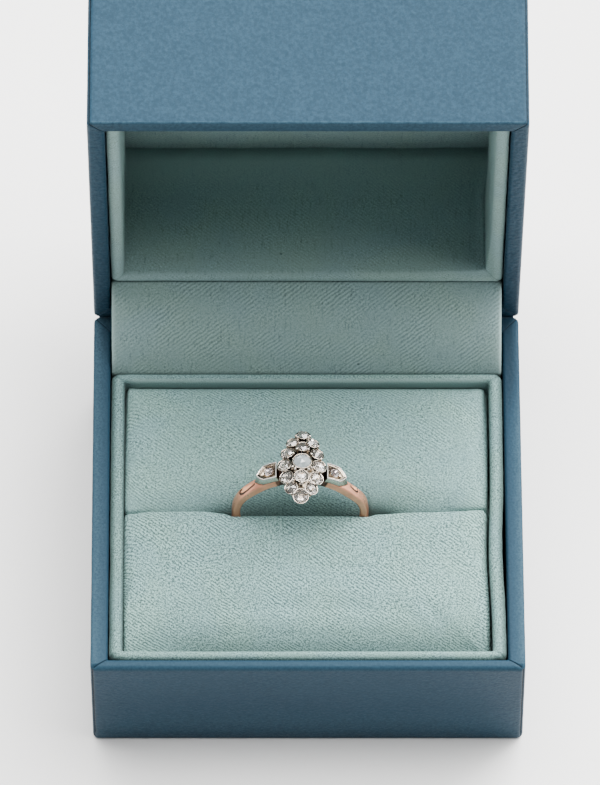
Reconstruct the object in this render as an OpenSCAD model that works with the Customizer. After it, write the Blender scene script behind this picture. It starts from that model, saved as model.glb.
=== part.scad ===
// Diamond cluster ring standing in the padded slot of a hinged ring box, lid open.
// Millimetres, +Z up. The origin is the middle of the base's underside, and the box
// faces -Y. The ring's own frame has its finger axis along Y and its head towards +Z.

/* [Box] */
// Width of the box from side to side
box_w = 62; // [56:0.5:70]
// Depth of the box from front to back
box_d = 56.9; // [54:0.1:64]
// Height of the base up to its rim
base_h = 22.7; // [21:0.1:28]
// Height of the lid from its rim to its top
lid_h = 27; // [26:0.5:32]
// Thickness of the side and back walls and of the lid's walls
wall_t = 2.5; // [2:0.1:2.8]
// Thickness of the base's front wall
front_wall_t = 1.6; // [1.4:0.1:2.4]
// Thickness of the base's floor
floor_t = 1.6; // [1:0.1:2.4]
// Thickness of the lid's top
lid_top_t = 2.2; // [1.6:0.1:2.6]
// Radius of the box's upright corners
corner_r = 0.9; // [0.5:0.1:1.6]

/* [Lining] */
// Thickness of the velvet tray's side walls
tray_side_t = 1.9; // [1.4:0.1:2.4]
// Thickness of the velvet tray's front and back walls
tray_end_t = 1.4; // [1.2:0.1:1.8]
// Radius of the trays' upright corners
tray_r = 0.8; // [0.5:0.1:1.2]
// Distance from the box's back to the back of both trays, where the hinge is
hinge_bay = 9.1; // [8:0.1:10]
// Depth from the lid's rim plane to the lid tray's edge
lid_tray_recess = 0.8; // [0.6:0.1:2]
// Depth from the lid's rim plane to its padded panel
lid_hollow = 21.7; // [20:0.1:22.6]
// Thickness of the lid's padded panel
lid_panel_t = 2; // [1:0.1:2.2]
// Thickness of the velvet flap over the hinge
flap_t = 0.9; // [0.6:0.1:1.2]
// How far the flap bows out between its two edges
flap_bow = 1.3; // [0.4:0.1:2]

/* [Pads] */
// Height of the pads' crown below the rim of the base
pad_crown_drop = 0.9; // [0.5:0.1:1.6]
// How far the pads' outer edges curve down from their crown
pad_edge_drop = 1; // [0.8:0.1:2]
// Dark gap between the pads and the tray on the right
pad_right_gap = 0.5; // [0.2:0.1:1.2]
// Play between the ring and the front pad
slot_play = 0.3; // [0.05:0.05:0.5]

/* [Ring] */
// Inner diameter of the ring
ring_bore = 17.4; // [16:0.1:18]
// Radial thickness of the gold shank
shank_t = 1.2; // [1:0.05:1.4]
// Width of the shank along the finger at its back
shank_w = 1.9; // [1.6:0.1:2]
// Width of the shank along the finger under the shoulders
shoulder_w = 2.6; // [2.2:0.1:2.8]
// Lean of the ring towards the back of the box in degrees
ring_lean = 12.3; // [0:0.1:14]
// Turn of the ring in its slot in degrees
ring_turn = 1.8; // [-3:0.1:3]
// Place of the ring's centre to the right of the box's middle
ring_x = -1.2; // [-4:0.1:4]
// Place of the ring's centre behind the box's middle
ring_y = -2.6; // [-4:0.1:0]
// Depth of the ring's centre below the rim of the base
ring_sink = 2.5; // [2:0.1:4]

/* [Head] */
// Turn of the head on the shank in degrees
head_twist = 1.5; // [-3:0.1:3]
// Height of the outer row of stones above the ring's centre
outer_row_h = 11.2; // [11.1:0.05:11.4]
// Height of the three middle stones above the ring's centre
inner_row_h = 12.15; // [12:0.05:12.4]
// Outward lean of the outer row of stones in degrees
outer_lean = 20; // [10:1:24]
// Thickness of the silver collet round each stone
collet_t = 0.14; // [0.1:0.01:0.18]

/* [Shoulders] */
// Radial thickness of the silver on each shoulder
silver_t = 1.05; // [0.9:0.05:1.1]
// Width of each shoulder setting at its inner end
shield_w = 2.75; // [2.6:0.05:3]
// Length of each shoulder setting along the shank
shield_l = 3.2; // [3:0.1:3.3]

/* [Hidden] */
fit_gap = 0.15;        // between box shell and lining
stone_gap = 0.03;      // between a stone and its metal
solder_gap = 0.02;     // between the gold and the silver
rim_gap = 0.1;         // between the two rims when the lid is shut
eps = 0.01;
arc_steps = 12;        // points along each curved profile
pad_flatness = 7;      // a higher power keeps the pads flat nearer to their edges

half_w = box_w / 2;
half_d = box_d / 2;
tray_half_w = half_w - wall_t - fit_gap;
tray_front = -half_d + front_wall_t + fit_gap;
tray_back = half_d - hinge_bay;
pad_front = tray_front + tray_end_t + fit_gap;
pad_back = tray_back - tray_end_t - fit_gap;
pad_left = -tray_half_w + tray_side_t + fit_gap;
pad_right = tray_half_w - tray_side_t - pad_right_gap;
pad_bottom = floor_t + fit_gap;
pad_top = base_h - pad_crown_drop;

bore_r = ring_bore / 2;
shank_r = bore_r + shank_t;
ring_z = base_h - ring_sink;
pocket_r = shank_r + 0.12;   // round pocket in the pads for the lower half of the ring
pocket_w = shank_w + 0.1;
pad_overlap = 6;             // how far each pad's form runs past the slot before it is cut

silver_in_r = shank_r + solder_gap;
silver_out_r = silver_in_r + silver_t;
shield_mid = 28;       // angle of each shoulder setting from the ring's top
bezel_t = 0.15;        // height of the upright edge round each shoulder setting
foot_l = 0.95;         // how much longer each shoulder setting is at its foot

// The outer row, one side: [along the finger, across it, diameter]
OUTER_ALONG = 0;
OUTER_ACROSS = 1;
OUTER_D = 2;
OUTER_ROW = [
    [4.32, 1.46, 1.80],
    [2.28, 2.16, 1.86],
    [0.05, 2.52, 1.92],
    [-2.16, 2.14, 1.88],
    [-4.12, 1.44, 1.74],
];
// The middle stones: [along the finger, height above the middle row, diameter]
MIDDLE_BACK = [3.05, -0.25, 1.70];
MIDDLE_CENTRE = [0, 0.15, 2.55];
MIDDLE_FRONT = [-2.58, -0.05, 1.92];
// The two end stones: [along the finger, diameter]
TIP_BACK = [5.82, 1.92];
TIP_FRONT = [-5.52, 2.06];

LEFT_STONES = [for (i = [1:5]) str("stone_left_", i)];
RIGHT_STONES = [for (i = [1:5]) str("stone_right_", i)];

BLUE = [0.33, 0.47, 0.58];
VELVET = [0.58, 0.69, 0.67];
GOLD = [0.80, 0.58, 0.44];
SILVER = [0.62, 0.60, 0.56];
DIAMOND = [0.86, 0.88, 0.88];

// Rectangle with rounded corners, from (x0, y0) to (x1, y1)
module round_rect(x0, x1, y0, y1, r) {
    translate([x0 + r, y0]) square([x1 - x0 - 2 * r, y1 - y0]);
    translate([x0, y0 + r]) square([x1 - x0, y1 - y0 - 2 * r]);
    for (x = [x0 + r, x1 - r], y = [y0 + r, y1 - r])
        translate([x, y]) circle(r = r, $fn = 32);
}

// Puts what is drawn for the shut lid, its rim on the rim of the base, where it stands open
module opened_lid() {
    translate([0, half_d, base_h]) rotate([-90, 0, 0]) translate([0, -half_d, 0]) children();
}

// Puts what is drawn in the ring's own frame into the slot
module in_slot() {
    translate([ring_x, ring_y, ring_z]) rotate([-ring_lean, 0, 0]) rotate([0, ring_turn, 0])
        children();
}

module base_shell() {
    color(BLUE) difference() {
        linear_extrude(base_h) round_rect(-half_w, half_w, -half_d, half_d, corner_r);
        translate([0, 0, floor_t]) linear_extrude(base_h)
            translate([-half_w + wall_t, -half_d + front_wall_t])
                square([box_w - 2 * wall_t, box_d - wall_t - front_wall_t]);
    }
}

// Velvet wall that lines the base and ends in front of the hinge
module base_tray() {
    color(VELVET) translate([0, 0, floor_t + eps]) linear_extrude(base_h - floor_t - eps)
        difference() {
            round_rect(-tray_half_w, tray_half_w, tray_front, tray_back, tray_r);
            translate([-tray_half_w + tray_side_t, tray_front + tray_end_t])
                square([2 * (tray_half_w - tray_side_t), tray_back - tray_front - 2 * tray_end_t]);
        }
}

// Crowned outline of a pad from u0 to u1, with its two ends curving down by drop0 and drop1
function crown(u0, u1, drop0, drop1) = [
    for (i = [0:2 * arc_steps])
        let (t = i / arc_steps - 1, drop = t < 0 ? drop0 : drop1)
        [(u0 + u1) / 2 + (u1 - u0) / 2 * t, pad_top - drop * pow(abs(t), pad_flatness)]
];

// Crossed outlines give a pad its crowned top, rounded along all four edges
module pad_form(y0, y1, drop0, drop1) {
    side = concat([[y1, pad_bottom], [y0, pad_bottom]], crown(y0, y1, drop0, drop1));
    front = concat([[pad_right, pad_bottom], [pad_left, pad_bottom]],
        crown(pad_left, pad_right, pad_edge_drop, pad_edge_drop));
    intersection() {
        translate([pad_left, 0, 0]) rotate([90, 0, 90])
            linear_extrude(pad_right - pad_left) polygon(side);
        translate([0, y1, 0]) rotate([90, 0, 0]) linear_extrude(y1 - y0) polygon(front);
    }
}

// The slot leans back with the ring
module in_slot_plane() {
    translate([ring_x, ring_y, ring_z]) rotate([-ring_lean, 0, 0]) children();
}

// Everything on one side of the slot
module slot_half_space(side) {
    in_slot_plane() translate([-box_w, side > 0 ? fit_gap / 2 : -box_w - fit_gap / 2, -box_d])
        cube([2 * box_w, box_w, 2 * box_d]);
}

// Round pocket for the buried half of the ring, open upwards
module ring_pocket() {
    in_slot_plane() union() {
        translate([0, pocket_w / 2, 0]) rotate([90, 0, 0])
            cylinder(r = pocket_r, h = pocket_w + slot_play, $fn = 64);
        translate([-pocket_r, -pocket_w / 2 - slot_play, 0])
            cube([2 * pocket_r, pocket_w + slot_play, pocket_r]);
    }
}

module pad(side) {
    color(VELVET) difference() {
        intersection() {
            if (side > 0) pad_form(ring_y - pad_overlap, pad_back, 0, pad_edge_drop);
            else pad_form(pad_front, ring_y + pad_overlap, pad_edge_drop, 0);
            slot_half_space(side);
        }
        ring_pocket();
    }
}

module back_pad() { pad(1); }

module front_pad() { pad(-1); }

// Bowed profile of the flap from the base tray's back edge to the lid tray's lower edge,
// with a tail tucked in at each end, as offsets from the hinge line
flap_dip = 0.4;        // how far the flap's front edge lies below the rim
flap_tail = 3;
flap_start = [-hinge_bay + fit_gap, -flap_dip];
flap_end = [lid_tray_recess, hinge_bay - fit_gap];
flap_out = let (c = flap_end - flap_start) [-c[1], c[0]] / norm(c);
function flap_line(inset) = [
    for (i = [0:2 * arc_steps])
        let (t = i / (2 * arc_steps))
        flap_start + (flap_end - flap_start) * t + flap_out * (4 * flap_bow * t * (1 - t))
            + [inset * (1 - t), -inset * t]
];

module hinge_flap() {
    outer = concat([flap_start - [0, flap_tail]], flap_line(0), [flap_end + [flap_tail, 0]]);
    inner = concat([flap_start + [flap_t, -flap_tail]], flap_line(flap_t),
        [flap_end + [flap_tail, -flap_t]]);
    last = len(inner) - 1;
    color(VELVET) translate([-tray_half_w, half_d, base_h]) rotate([90, 0, 90])
        linear_extrude(2 * tray_half_w)
            polygon(concat(outer, [for (i = [0:last]) inner[last - i]]));
}

module lid_shell() {
    color(BLUE) opened_lid() difference() {
        translate([0, 0, rim_gap]) linear_extrude(lid_h - rim_gap)
            round_rect(-half_w, half_w, -half_d, half_d, corner_r);
        linear_extrude(lid_h - lid_top_t) translate([-half_w + wall_t, -half_d + wall_t])
            square([box_w - 2 * wall_t, box_d - 2 * wall_t]);
    }
}

module lid_tray() {
    color(VELVET) opened_lid() translate([0, 0, lid_tray_recess])
        linear_extrude(lid_hollow - lid_tray_recess - fit_gap) difference() {
            round_rect(-tray_half_w, tray_half_w, -half_d + wall_t + fit_gap, tray_back, tray_r);
            translate([-tray_half_w + tray_side_t, -half_d + wall_t + fit_gap + tray_end_t])
                square([2 * (tray_half_w - tray_side_t),
                    tray_back + half_d - wall_t - fit_gap - tray_end_t - tray_side_t]);
        }
}

module lid_panel() {
    color(VELVET) opened_lid() translate([0, 0, lid_hollow]) linear_extrude(lid_panel_t)
        round_rect(-tray_half_w, tray_half_w, -half_d + wall_t + fit_gap, tray_back, tray_r);
}

// Smooth step from 0 at a to 1 at b
function ease(a, b, v) = let (t = min(1, max(0, (v - a) / (b - a)))) t * t * (3 - 2 * t);

// Half width and crown of the shank at an angle from the ring's top: it narrows below the
// shoulders, and its flat outer face turns into a low crown
taper_start = 38;
taper_end = 85;
crown_start = 44;
crown_end = 75;
crown_drop = 0.3;
shank_steps = 90;
function shank_half_w(angle) =
    (shoulder_w + (shank_w - shoulder_w) * ease(taper_start, taper_end, angle)) / 2;
function shank_crown(angle) = crown_drop * ease(crown_start, crown_end, angle);

// Closed ring of shank sections, with its bore cut true
module ring_shank() {
    sides = 7;
    inner_r = bore_r - 0.5;   // inside the bore that is cut
    function section(angle) =
        let (w = shank_half_w(angle), c = shank_crown(angle))
        [[inner_r, w], [shank_r - c, w], [shank_r - c / 4, w / 2], [shank_r, 0],
         [shank_r - c / 4, -w / 2], [shank_r - c, -w], [inner_r, -w]];
    points = [
        for (i = [0:shank_steps - 1])
            let (turn = 360 * i / shank_steps, angle = turn > 180 ? 360 - turn : turn)
            for (p = section(angle)) [p[0] * sin(turn), p[1], p[0] * cos(turn)]
    ];
    faces = [
        for (i = [0:shank_steps - 1], j = [0:sides - 1])
            let (a = i * sides, b = (i + 1) % shank_steps * sides, k = (j + 1) % sides)
            for (f = [[a + j, b + j, b + k], [a + j, b + k, a + k]]) f
    ];
    color(GOLD) in_slot() difference() {
        polyhedron(points, faces);
        rotate([90, 0, 0]) cylinder(r = bore_r, h = 2 * shoulder_w, center = true, $fn = 96);
    }
}

// Half outline of a shoulder setting, inner end first: [share of length, share of half width]
SHIELD_OUTLINE = [[0, 1], [0.35, 1], [0.62, 0.93], [0.84, 0.5], [1, 0]];
function shield(scale_by, shift, longer = 0) =
    let (half = [for (p = SHIELD_OUTLINE)
        [(p[0] - 0.5) * shield_l * scale_by + shift + p[0] * longer, p[1] * shield_w / 2 * scale_by]],
        last = len(half) - 2)
    concat(half, [for (i = [0:last]) [half[last - i][0], -half[last - i][1]]]);

// Frame on one shoulder: X along the shank away from the head, Y along the finger, Z outwards
module on_shoulder(side) {
    in_slot() rotate([0, side * shield_mid, 0]) mirror([side > 0 ? 0 : 1, 0, 0]) children();
}

seat_scale = 0.74;     // the stone's outline, as a share of the setting's
seat_shift = -0.16;    // and how far it lies towards the head
seat_floor_r = silver_out_r - 0.45;
foot_r = shank_r - 0.5;

// Silver setting that lies on the gold: its foot is longer than its upper edge
module shoulder(side) {
    color(SILVER) difference() {
        intersection() {
            on_shoulder(side) union() {
                hull() {
                    translate([0, 0, foot_r]) linear_extrude(eps) polygon(shield(1, 0, foot_l));
                    translate([0, 0, silver_out_r - 2 * bezel_t]) linear_extrude(eps) polygon(shield(1, 0));
                }
                translate([0, 0, silver_out_r - 3 * bezel_t]) linear_extrude(1) polygon(shield(1, 0));
            }
            in_slot() rotate([90, 0, 0])
                cylinder(r = silver_out_r, h = 2 * shield_w, center = true, $fn = 96);
        }
        in_slot() rotate([90, 0, 0])
            cylinder(r = silver_in_r, h = 3 * shield_w, center = true, $fn = 96);
        on_shoulder(side) translate([0, 0, seat_floor_r])
            linear_extrude(3) polygon(shield(seat_scale, seat_shift));
    }
}

module left_shoulder() { shoulder(-1); }

module right_shoulder() { shoulder(1); }

// Cut stone on a flat back: rings of corners, each [share of radius, height], up to its table
function rings_to_faces(n, rings) = concat(
    [[for (i = [0:n - 1]) i]],
    [for (k = [0:rings - 2], i = [0:n - 1])
        let (a = k * n + i, b = k * n + (i + 1) % n)
        for (f = [[a, a + n, b], [b, a + n, b + n]]) f],
    [[for (i = [0:n - 1]) (rings - 1) * n + n - 1 - i]]);

module round_stone(d) {
    n = 8;
    rings = [[0.98, -0.22], [1, 0], [0.76, 0.24 * d], [0.34, 0.38 * d]];
    points = [for (k = [0:3], i = [0:n - 1])
        let (a = 360 * (i + k / 2) / n, r = rings[k][0] * d / 2)
        [r * cos(a), r * sin(a), rings[k][1]]];
    polyhedron(points, rings_to_faces(n, 4));
}

module shield_stone() {
    play = 0.94;    // the stone's size, as a share of its seat
    levels = [[1, 0.04], [1, 0.28], [0.72, 0.62], [0.36, 0.76]];   // [share of outline, height]
    outlines = [for (l = levels) shield(seat_scale * play * l[0], seat_shift)];
    n = len(outlines[0]);
    points = [for (k = [0:3], p = outlines[k]) [p[0], p[1], levels[k][1]]];
    color(DIAMOND) translate([0, 0, seat_floor_r]) polyhedron(points, rings_to_faces(n, 4));
}

// Place of a stone on the head: [across, along, height, outward lean across, lean along]
module at_stone(across, along, height, lean_across, lean_along) {
    on_head() translate([across, along, height]) rotate([-lean_along, lean_across, 0]) children();
}

module on_head() { in_slot() rotate([0, 0, -head_twist]) children(); }

// Lean of the stones towards the head's two ends, in degrees for each millimetre along it
outer_lean_along = 3;
middle_lean_along = 2.5;
tip_drop = 0.1;    // how far the end stones lie below the outer row

module at_outer(i, side) {
    row = OUTER_ROW[i];
    at_stone(side * row[OUTER_ACROSS], row[OUTER_ALONG], outer_row_h, side * outer_lean,
        row[OUTER_ALONG] * outer_lean_along) children();
}

module at_tip(tip) {
    at_stone(0, tip[0], outer_row_h - tip_drop, 0, sign(tip[0]) * outer_lean) children();
}

module at_middle(stone) {
    at_stone(0, stone[0], inner_row_h + stone[1], 0, stone[0] * middle_lean_along) children();
}

module middle_stone(stone) { color(DIAMOND) at_middle(stone) round_stone(stone[2]); }

module tip_stone(tip) { color(DIAMOND) at_tip(tip) round_stone(tip[1]); }

module outer_stone(i, side) { color(DIAMOND) at_outer(i, side) round_stone(OUTER_ROW[i][OUTER_D]); }

// Pointed oval of a half length and half width
module navette(half_l, half_b) {
    r = (half_l * half_l + half_b * half_b) / (2 * half_b);
    intersection() {
        translate([half_b - r, 0]) circle(r = r, $fn = 96);
        translate([r - half_b, 0]) circle(r = r, $fn = 96);
    }
}

// Tapered silver cup under one stone
collet_foot = 0.3;      // radius of its foot, as a share of the stone's diameter
outer_collet_h = 0.9;
middle_collet_h = 1.5;
module collet(d, height) {
    hull() {
        translate([0, 0, -0.1]) cylinder(r = d / 2 + collet_t, h = 0.12, $fn = 16);
        translate([0, 0, -height]) cylinder(r = d * collet_foot, h = 0.1, $fn = 16);
    }
}

module seat(d) {
    for (lift = [-stone_gap, stone_gap]) translate([0, 0, lift]) round_stone(d + 2 * stone_gap);
}

// Applies collet or seat to every stone of the head
module each_stone(cut) {
    for (s = [MIDDLE_BACK, MIDDLE_CENTRE, MIDDLE_FRONT])
        at_middle(s) { if (cut) seat(s[2]); else collet(s[2], middle_collet_h); }
    for (tip = [TIP_BACK, TIP_FRONT])
        at_tip(tip) { if (cut) seat(tip[1]); else collet(tip[1], outer_collet_h); }
    for (side = [-1, 1], i = [0:len(OUTER_ROW) - 1])
        at_outer(i, side) {
            if (cut) seat(OUTER_ROW[i][OUTER_D]);
            else collet(OUTER_ROW[i][OUTER_D], outer_collet_h);
        }
}

// Claws between the stones on one side: [across, along, height of the rounded top]
claw_r = 0.19;
claw_foot = 10.4;
CLAWS = [
    [0.98, 5.35, 11.45], [2.2, 3.4, 11.5], [2.7, 1.2, 11.5], [2.7, -1.18, 11.5],
    [2.2, -3.4, 11.5], [1.0, -5.25, 11.45], [0.72, 4.6, 12.0], [0.8, 2.1, 12.45],
    [1.3, 1.35, 12.3], [1.35, -1.15, 12.3], [0.95, -1.6, 12.45], [1.15, -3.4, 12.0],
];

// Pointed ovals of the head: [height of its underside, thickness, half length, half width]
GALLERY = [[shank_r - 0.35, 0.1, 3.4, 1.6], [outer_row_h - 0.75, 0.25, 6.1, 2.8]];
MOUND = [[outer_row_h - 0.6, 0.1, 5.4, 2.2], [outer_row_h + 0.3, 0.2, 3.9, 1.2]];
module lofted(levels) {
    on_head() hull()
        for (l = levels) translate([0, 0, l[0]]) linear_extrude(l[1]) navette(l[2], l[3]);
}

module ring_head() {
    color(SILVER) difference() {
        union() {
            lofted(GALLERY);
            lofted(MOUND);
            each_stone(false);
            on_head() for (side = [-1, 1], c = CLAWS) translate([side * c[0], c[1], claw_foot]) {
                cylinder(r = claw_r, h = c[2] - claw_foot, $fn = 8);
                translate([0, 0, c[2] - claw_foot]) sphere(r = claw_r, $fn = 8);
            }
        }
        each_stone(true);
        in_slot() rotate([90, 0, 0])
            cylinder(r = silver_in_r, h = 3 * shield_w, center = true, $fn = 96);
    }
}

base_shell();
base_tray();
back_pad();
front_pad();
hinge_flap();
lid_shell();
lid_tray();
lid_panel();
ring_shank();
left_shoulder();
right_shoulder();
ring_head();
middle_stone(MIDDLE_CENTRE);  // stone_centre
middle_stone(MIDDLE_BACK);  // stone_middle_back
middle_stone(MIDDLE_FRONT);  // stone_middle_front
tip_stone(TIP_BACK);  // stone_tip_back
tip_stone(TIP_FRONT);  // stone_tip_front
on_shoulder(-1) shield_stone();  // stone_shoulder_left
on_shoulder(1) shield_stone();  // stone_shoulder_right
for (i = [0:4]) {
    outer_stone(i, -1);
    outer_stone(i, 1);
}
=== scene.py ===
"""Leatherette, velvet, metal and light for a diamond ring in its open ring box.

Lengths inside the functions are millimetres in the frame of the packed part: +Z up, the box
faces -Y and the origin is the middle of the base's underside. Meshes are written in metres.
"""

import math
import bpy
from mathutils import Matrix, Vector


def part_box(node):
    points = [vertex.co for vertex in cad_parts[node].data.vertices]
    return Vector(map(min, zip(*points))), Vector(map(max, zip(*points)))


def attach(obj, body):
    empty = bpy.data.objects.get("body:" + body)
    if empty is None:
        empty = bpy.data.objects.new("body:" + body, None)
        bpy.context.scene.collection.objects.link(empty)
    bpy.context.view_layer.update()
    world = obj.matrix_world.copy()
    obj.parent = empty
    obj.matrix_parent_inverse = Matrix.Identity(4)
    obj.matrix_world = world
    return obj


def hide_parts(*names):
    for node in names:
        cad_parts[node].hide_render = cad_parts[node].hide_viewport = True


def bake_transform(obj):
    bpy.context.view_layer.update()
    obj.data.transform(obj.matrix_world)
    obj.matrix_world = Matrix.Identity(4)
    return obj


bl_info = {
    "name": "Diamond Ring in a Ring Box",
    "version": (1, 0, 0),
    "blender": (4, 5, 0),
    "location": "3D View > Sidebar > Ring Box",
    "description": "Builds the covering, lining, pads and ring around the packed part",
    "category": "Object",
}

import bpy
import numpy as np

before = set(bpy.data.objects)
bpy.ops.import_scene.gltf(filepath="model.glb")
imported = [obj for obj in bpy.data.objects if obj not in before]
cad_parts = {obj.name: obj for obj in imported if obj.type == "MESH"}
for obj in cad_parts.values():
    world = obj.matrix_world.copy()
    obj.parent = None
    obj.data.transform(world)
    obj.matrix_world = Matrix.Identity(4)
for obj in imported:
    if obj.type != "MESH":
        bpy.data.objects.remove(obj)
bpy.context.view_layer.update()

MM = 0.001


def corners_mm(node):
    """Lowest and highest corner of a node at rest, in millimetres."""
    low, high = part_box(node)
    return np.array(low) / MM, np.array(high) / MM


HALF_W, HALF_D, BASE_H = corners_mm("base_shell")[1]
LID_H = corners_mm("lid_shell")[1][1] - HALF_D
TRAY_LOW, TRAY_HIGH = corners_mm("base_tray")
FLOOR_T = TRAY_LOW[2]
# Fold of leatherette behind the hinge: half its depth and half its height, then its middle
FOLD_HALF = (0.22, 0.85)
FOLD_Y, FOLD_Z = HALF_D + 0.26, BASE_H - 0.16 - FOLD_HALF[1]
RING_CENTRE = np.array([-1.2, -2.6, BASE_H - 2.5])


# ---------------------------------------------------------------- settings


def length(name, description, default):
    """A length of the part, in metres."""
    return bpy.props.FloatProperty(
        name=name, description=description, default=default, min=0.0,
        precision=5, unit="LENGTH", subtype="DISTANCE",
    )


def colour(name, description, default):
    """A linear colour."""
    return bpy.props.FloatVectorProperty(
        name=name, description=description, default=default, min=0.0, max=1.0,
        size=3, subtype="COLOR",
    )


def angle(name, description, degrees):
    """An angle, stored in radians."""
    return bpy.props.FloatProperty(
        name=name, description=description, default=math.radians(degrees),
        unit="ROTATION", subtype="ANGLE",
    )


class CoveringSettings(bpy.types.PropertyGroup):
    """Blue leatherette over the walls of the base and the lid."""

    wall: length("Wall", "Thickness of the side and back walls", 0.0025)
    front_wall: length("Front wall", "Thickness of the base's front wall", 0.0016)
    lid_top: length("Lid top", "Thickness of the lid's top", 0.0022)
    corner: length("Corner", "Radius of the upright corners", 0.0009)
    edge: length("Edge", "Radius of the wrapped edges", 0.00042)
    rim_gap: length("Rim gap", "Gap between the two rims when the lid is shut", 0.0001)
    grain: length("Grain", "Width of one pebble of the grain", 0.00046)
    colour: colour("Colour", "Colour of the leatherette", (0.0118, 0.0336, 0.0545))


class LiningSettings(bpy.types.PropertyGroup):
    """Velvet over the trays, the flap, the panel and the pads."""

    side: length("Side", "Thickness of the trays' side walls", 0.0019)
    end: length("End", "Thickness of the trays' front and back walls", 0.0014)
    corner: length("Corner", "Radius of the trays' upright corners", 0.0008)
    recess: length("Recess", "Depth of the lid tray's edge below the lid's rim", 0.0008)
    hollow: length("Hollow", "Depth of the lid's panel below the lid's rim", 0.0217)
    bow: length("Bow", "How far the flap bows out", 0.0013)
    twill: length("Twill", "Distance between two lines of the twill", 0.00046)
    slant: length("Slant", "How far the pads' right ends lean in at the top", 0.0005)
    puff: length("Puff", "Farthest that the padding swells", 0.0003)
    voxel: length("Voxel", "Grid of the pads before they swell", 0.00045)
    # The lid's and the flap's velvet is the same cloth, given a lighter, greyer colour for the shade they lie
    # in: painted light.
    lid_colour: colour("Lid colour", "Colour of the velvet on the lid and the flap", (0.180, 0.264, 0.252))
    colour: colour("Colour", "Colour of the velvet", (0.144, 0.240, 0.228))


class RingSettings(bpy.types.PropertyGroup):
    """Gold shank, silver shoulders and head."""

    bore: length("Bore", "Inner diameter of the ring", 0.0174)
    shank: length("Shank", "Radial thickness of the gold", 0.0012)
    back_width: length("Back width", "Width of the shank at its back", 0.0019)
    top_width: length("Top width", "Width of the shank under the shoulders", 0.0026)
    silver: length("Silver", "Radial thickness of the silver on the shoulders", 0.00105)
    claw: length("Claw", "Radius of a claw", 0.00019)
    collet: length("Collet", "Thickness of the silver round a stone", 0.00014)
    lean: angle("Lean", "Lean of the ring towards the back", 12.3)
    turn: angle("Turn", "Turn of the ring in its slot", 1.8)
    gold: colour("Gold", "Colour of the rose gold", (0.840, 0.378, 0.235))
    silver_colour: colour("Silver colour", "Colour of the silver", (0.740, 0.700, 0.650))


class StageSettings(bpy.types.PropertyGroup):
    """Pale floor, soft light and camera."""

    floor: colour("Floor", "Colour of the floor", (0.880, 0.880, 0.880))
    distance: length("Distance", "Distance of the camera from the ring box", 1.388)
    elevation: angle("Elevation", "Height of the camera above the horizon", 62.15)


SETTINGS = {
    "ring_box_covering": CoveringSettings,
    "ring_box_lining": LiningSettings,
    "ring_box_ring": RingSettings,
    "ring_box_stage": StageSettings,
}


# ---------------------------------------------------------------- surfaces


def stacked(*columns):
    """Numbers or arrays spread to one shape and stacked along a new last axis."""
    return np.stack(np.broadcast_arrays(*columns), -1)


def grid_form(points, wrap=(False, False), poles=(False, False), flat=None, recess=0.0):
    """Surface through a grid of points [row, column].

    wrap joins the last row or column to the first. A pole gathers the first or last row into
    its mean point, joined to the row by triangles. flat is the unrolled place of each point,
    with one more row or column where the grid wraps. recess is a darkening of each point.
    """
    rows, columns = points.shape[:2]
    span = np.arange(columns if wrap[1] else columns - 1)
    i, j = np.broadcast_arrays(np.arange(rows if wrap[0] else rows - 1)[:, None], span)
    ring_i = np.stack([i, i, i + 1, i + 1], -1).reshape(-1, 4)
    ring_j = np.stack([j, j + 1, j + 1, j], -1).reshape(-1, 4)
    if flat is None:
        flat = np.zeros((rows + 1, columns + 1, 2))
    recess = np.broadcast_to(recess, (rows, columns))
    form = {
        "points": points.reshape(-1, 3),
        "quads": (ring_i % rows) * columns + ring_j % columns,
        "quad_flat": flat[ring_i, ring_j],
        "triangles": np.zeros((0, 3), int),
        "triangle_flat": np.zeros((0, 3, 2)),
        "recess": recess.reshape(-1),
    }
    for last, wanted in enumerate(poles):
        if not wanted:
            continue
        row = (rows - 1) * last
        here, after = row * columns + span, row * columns + (span + 1) % columns
        flat_here, flat_after = flat[row, span], flat[row, span + 1]
        if not last:
            here, after, flat_here, flat_after = after, here, flat_after, flat_here
        edge = flat[row, :-1] if flat.shape[1] > columns else flat[row]
        fan = stacked(here, after, len(form["points"]))
        fan_flat = np.stack(np.broadcast_arrays(flat_here, flat_after, edge.mean(0)), 1)
        form["points"] = np.vstack([form["points"], points[row].mean(0)])
        form["recess"] = np.append(form["recess"], recess[row].mean())
        form["triangles"] = np.vstack([form["triangles"], fan])
        form["triangle_flat"] = np.concatenate([form["triangle_flat"], fan_flat])
    return form


def closed_form(points, **more):
    """Surface of rows of points, each row joined to itself, with a pole at both ends."""
    return grid_form(points, wrap=(False, True), poles=(True, True), **more)


def join(forms):
    """Several forms as one, each face still pointing at its own points."""
    starts = np.cumsum([0] + [len(f["points"]) for f in forms[:-1]])
    joined = {
        key: np.concatenate([f[key] for f in forms])
        for key in ("points", "quad_flat", "triangle_flat", "recess")
    }
    for key in ("quads", "triangles"):
        joined[key] = np.concatenate([f[key] + s for f, s in zip(forms, starts)])
    return joined


def set_attribute(mesh, name, values, domain="POINT"):
    """Keeps a number for each point or face of a mesh under a name."""
    attribute = mesh.attributes.get(name) or mesh.attributes.new(name, "FLOAT", domain)
    attribute.data.foreach_set("value", values.astype(np.float32))


def set_cloth(mesh, cloth):
    """Keeps the cloth map of a mesh, in metres for each corner of its faces."""
    layer = mesh.uv_layers.get("Cloth") or mesh.uv_layers.new(name="Cloth")
    layer.data.foreach_set("uv", cloth.ravel().astype(np.float32))


def points_of(mesh):
    """Places of a mesh's points, in metres."""
    co = np.empty(len(mesh.vertices) * 3)
    mesh.vertices.foreach_get("co", co)
    return co.reshape(-1, 3)


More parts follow.
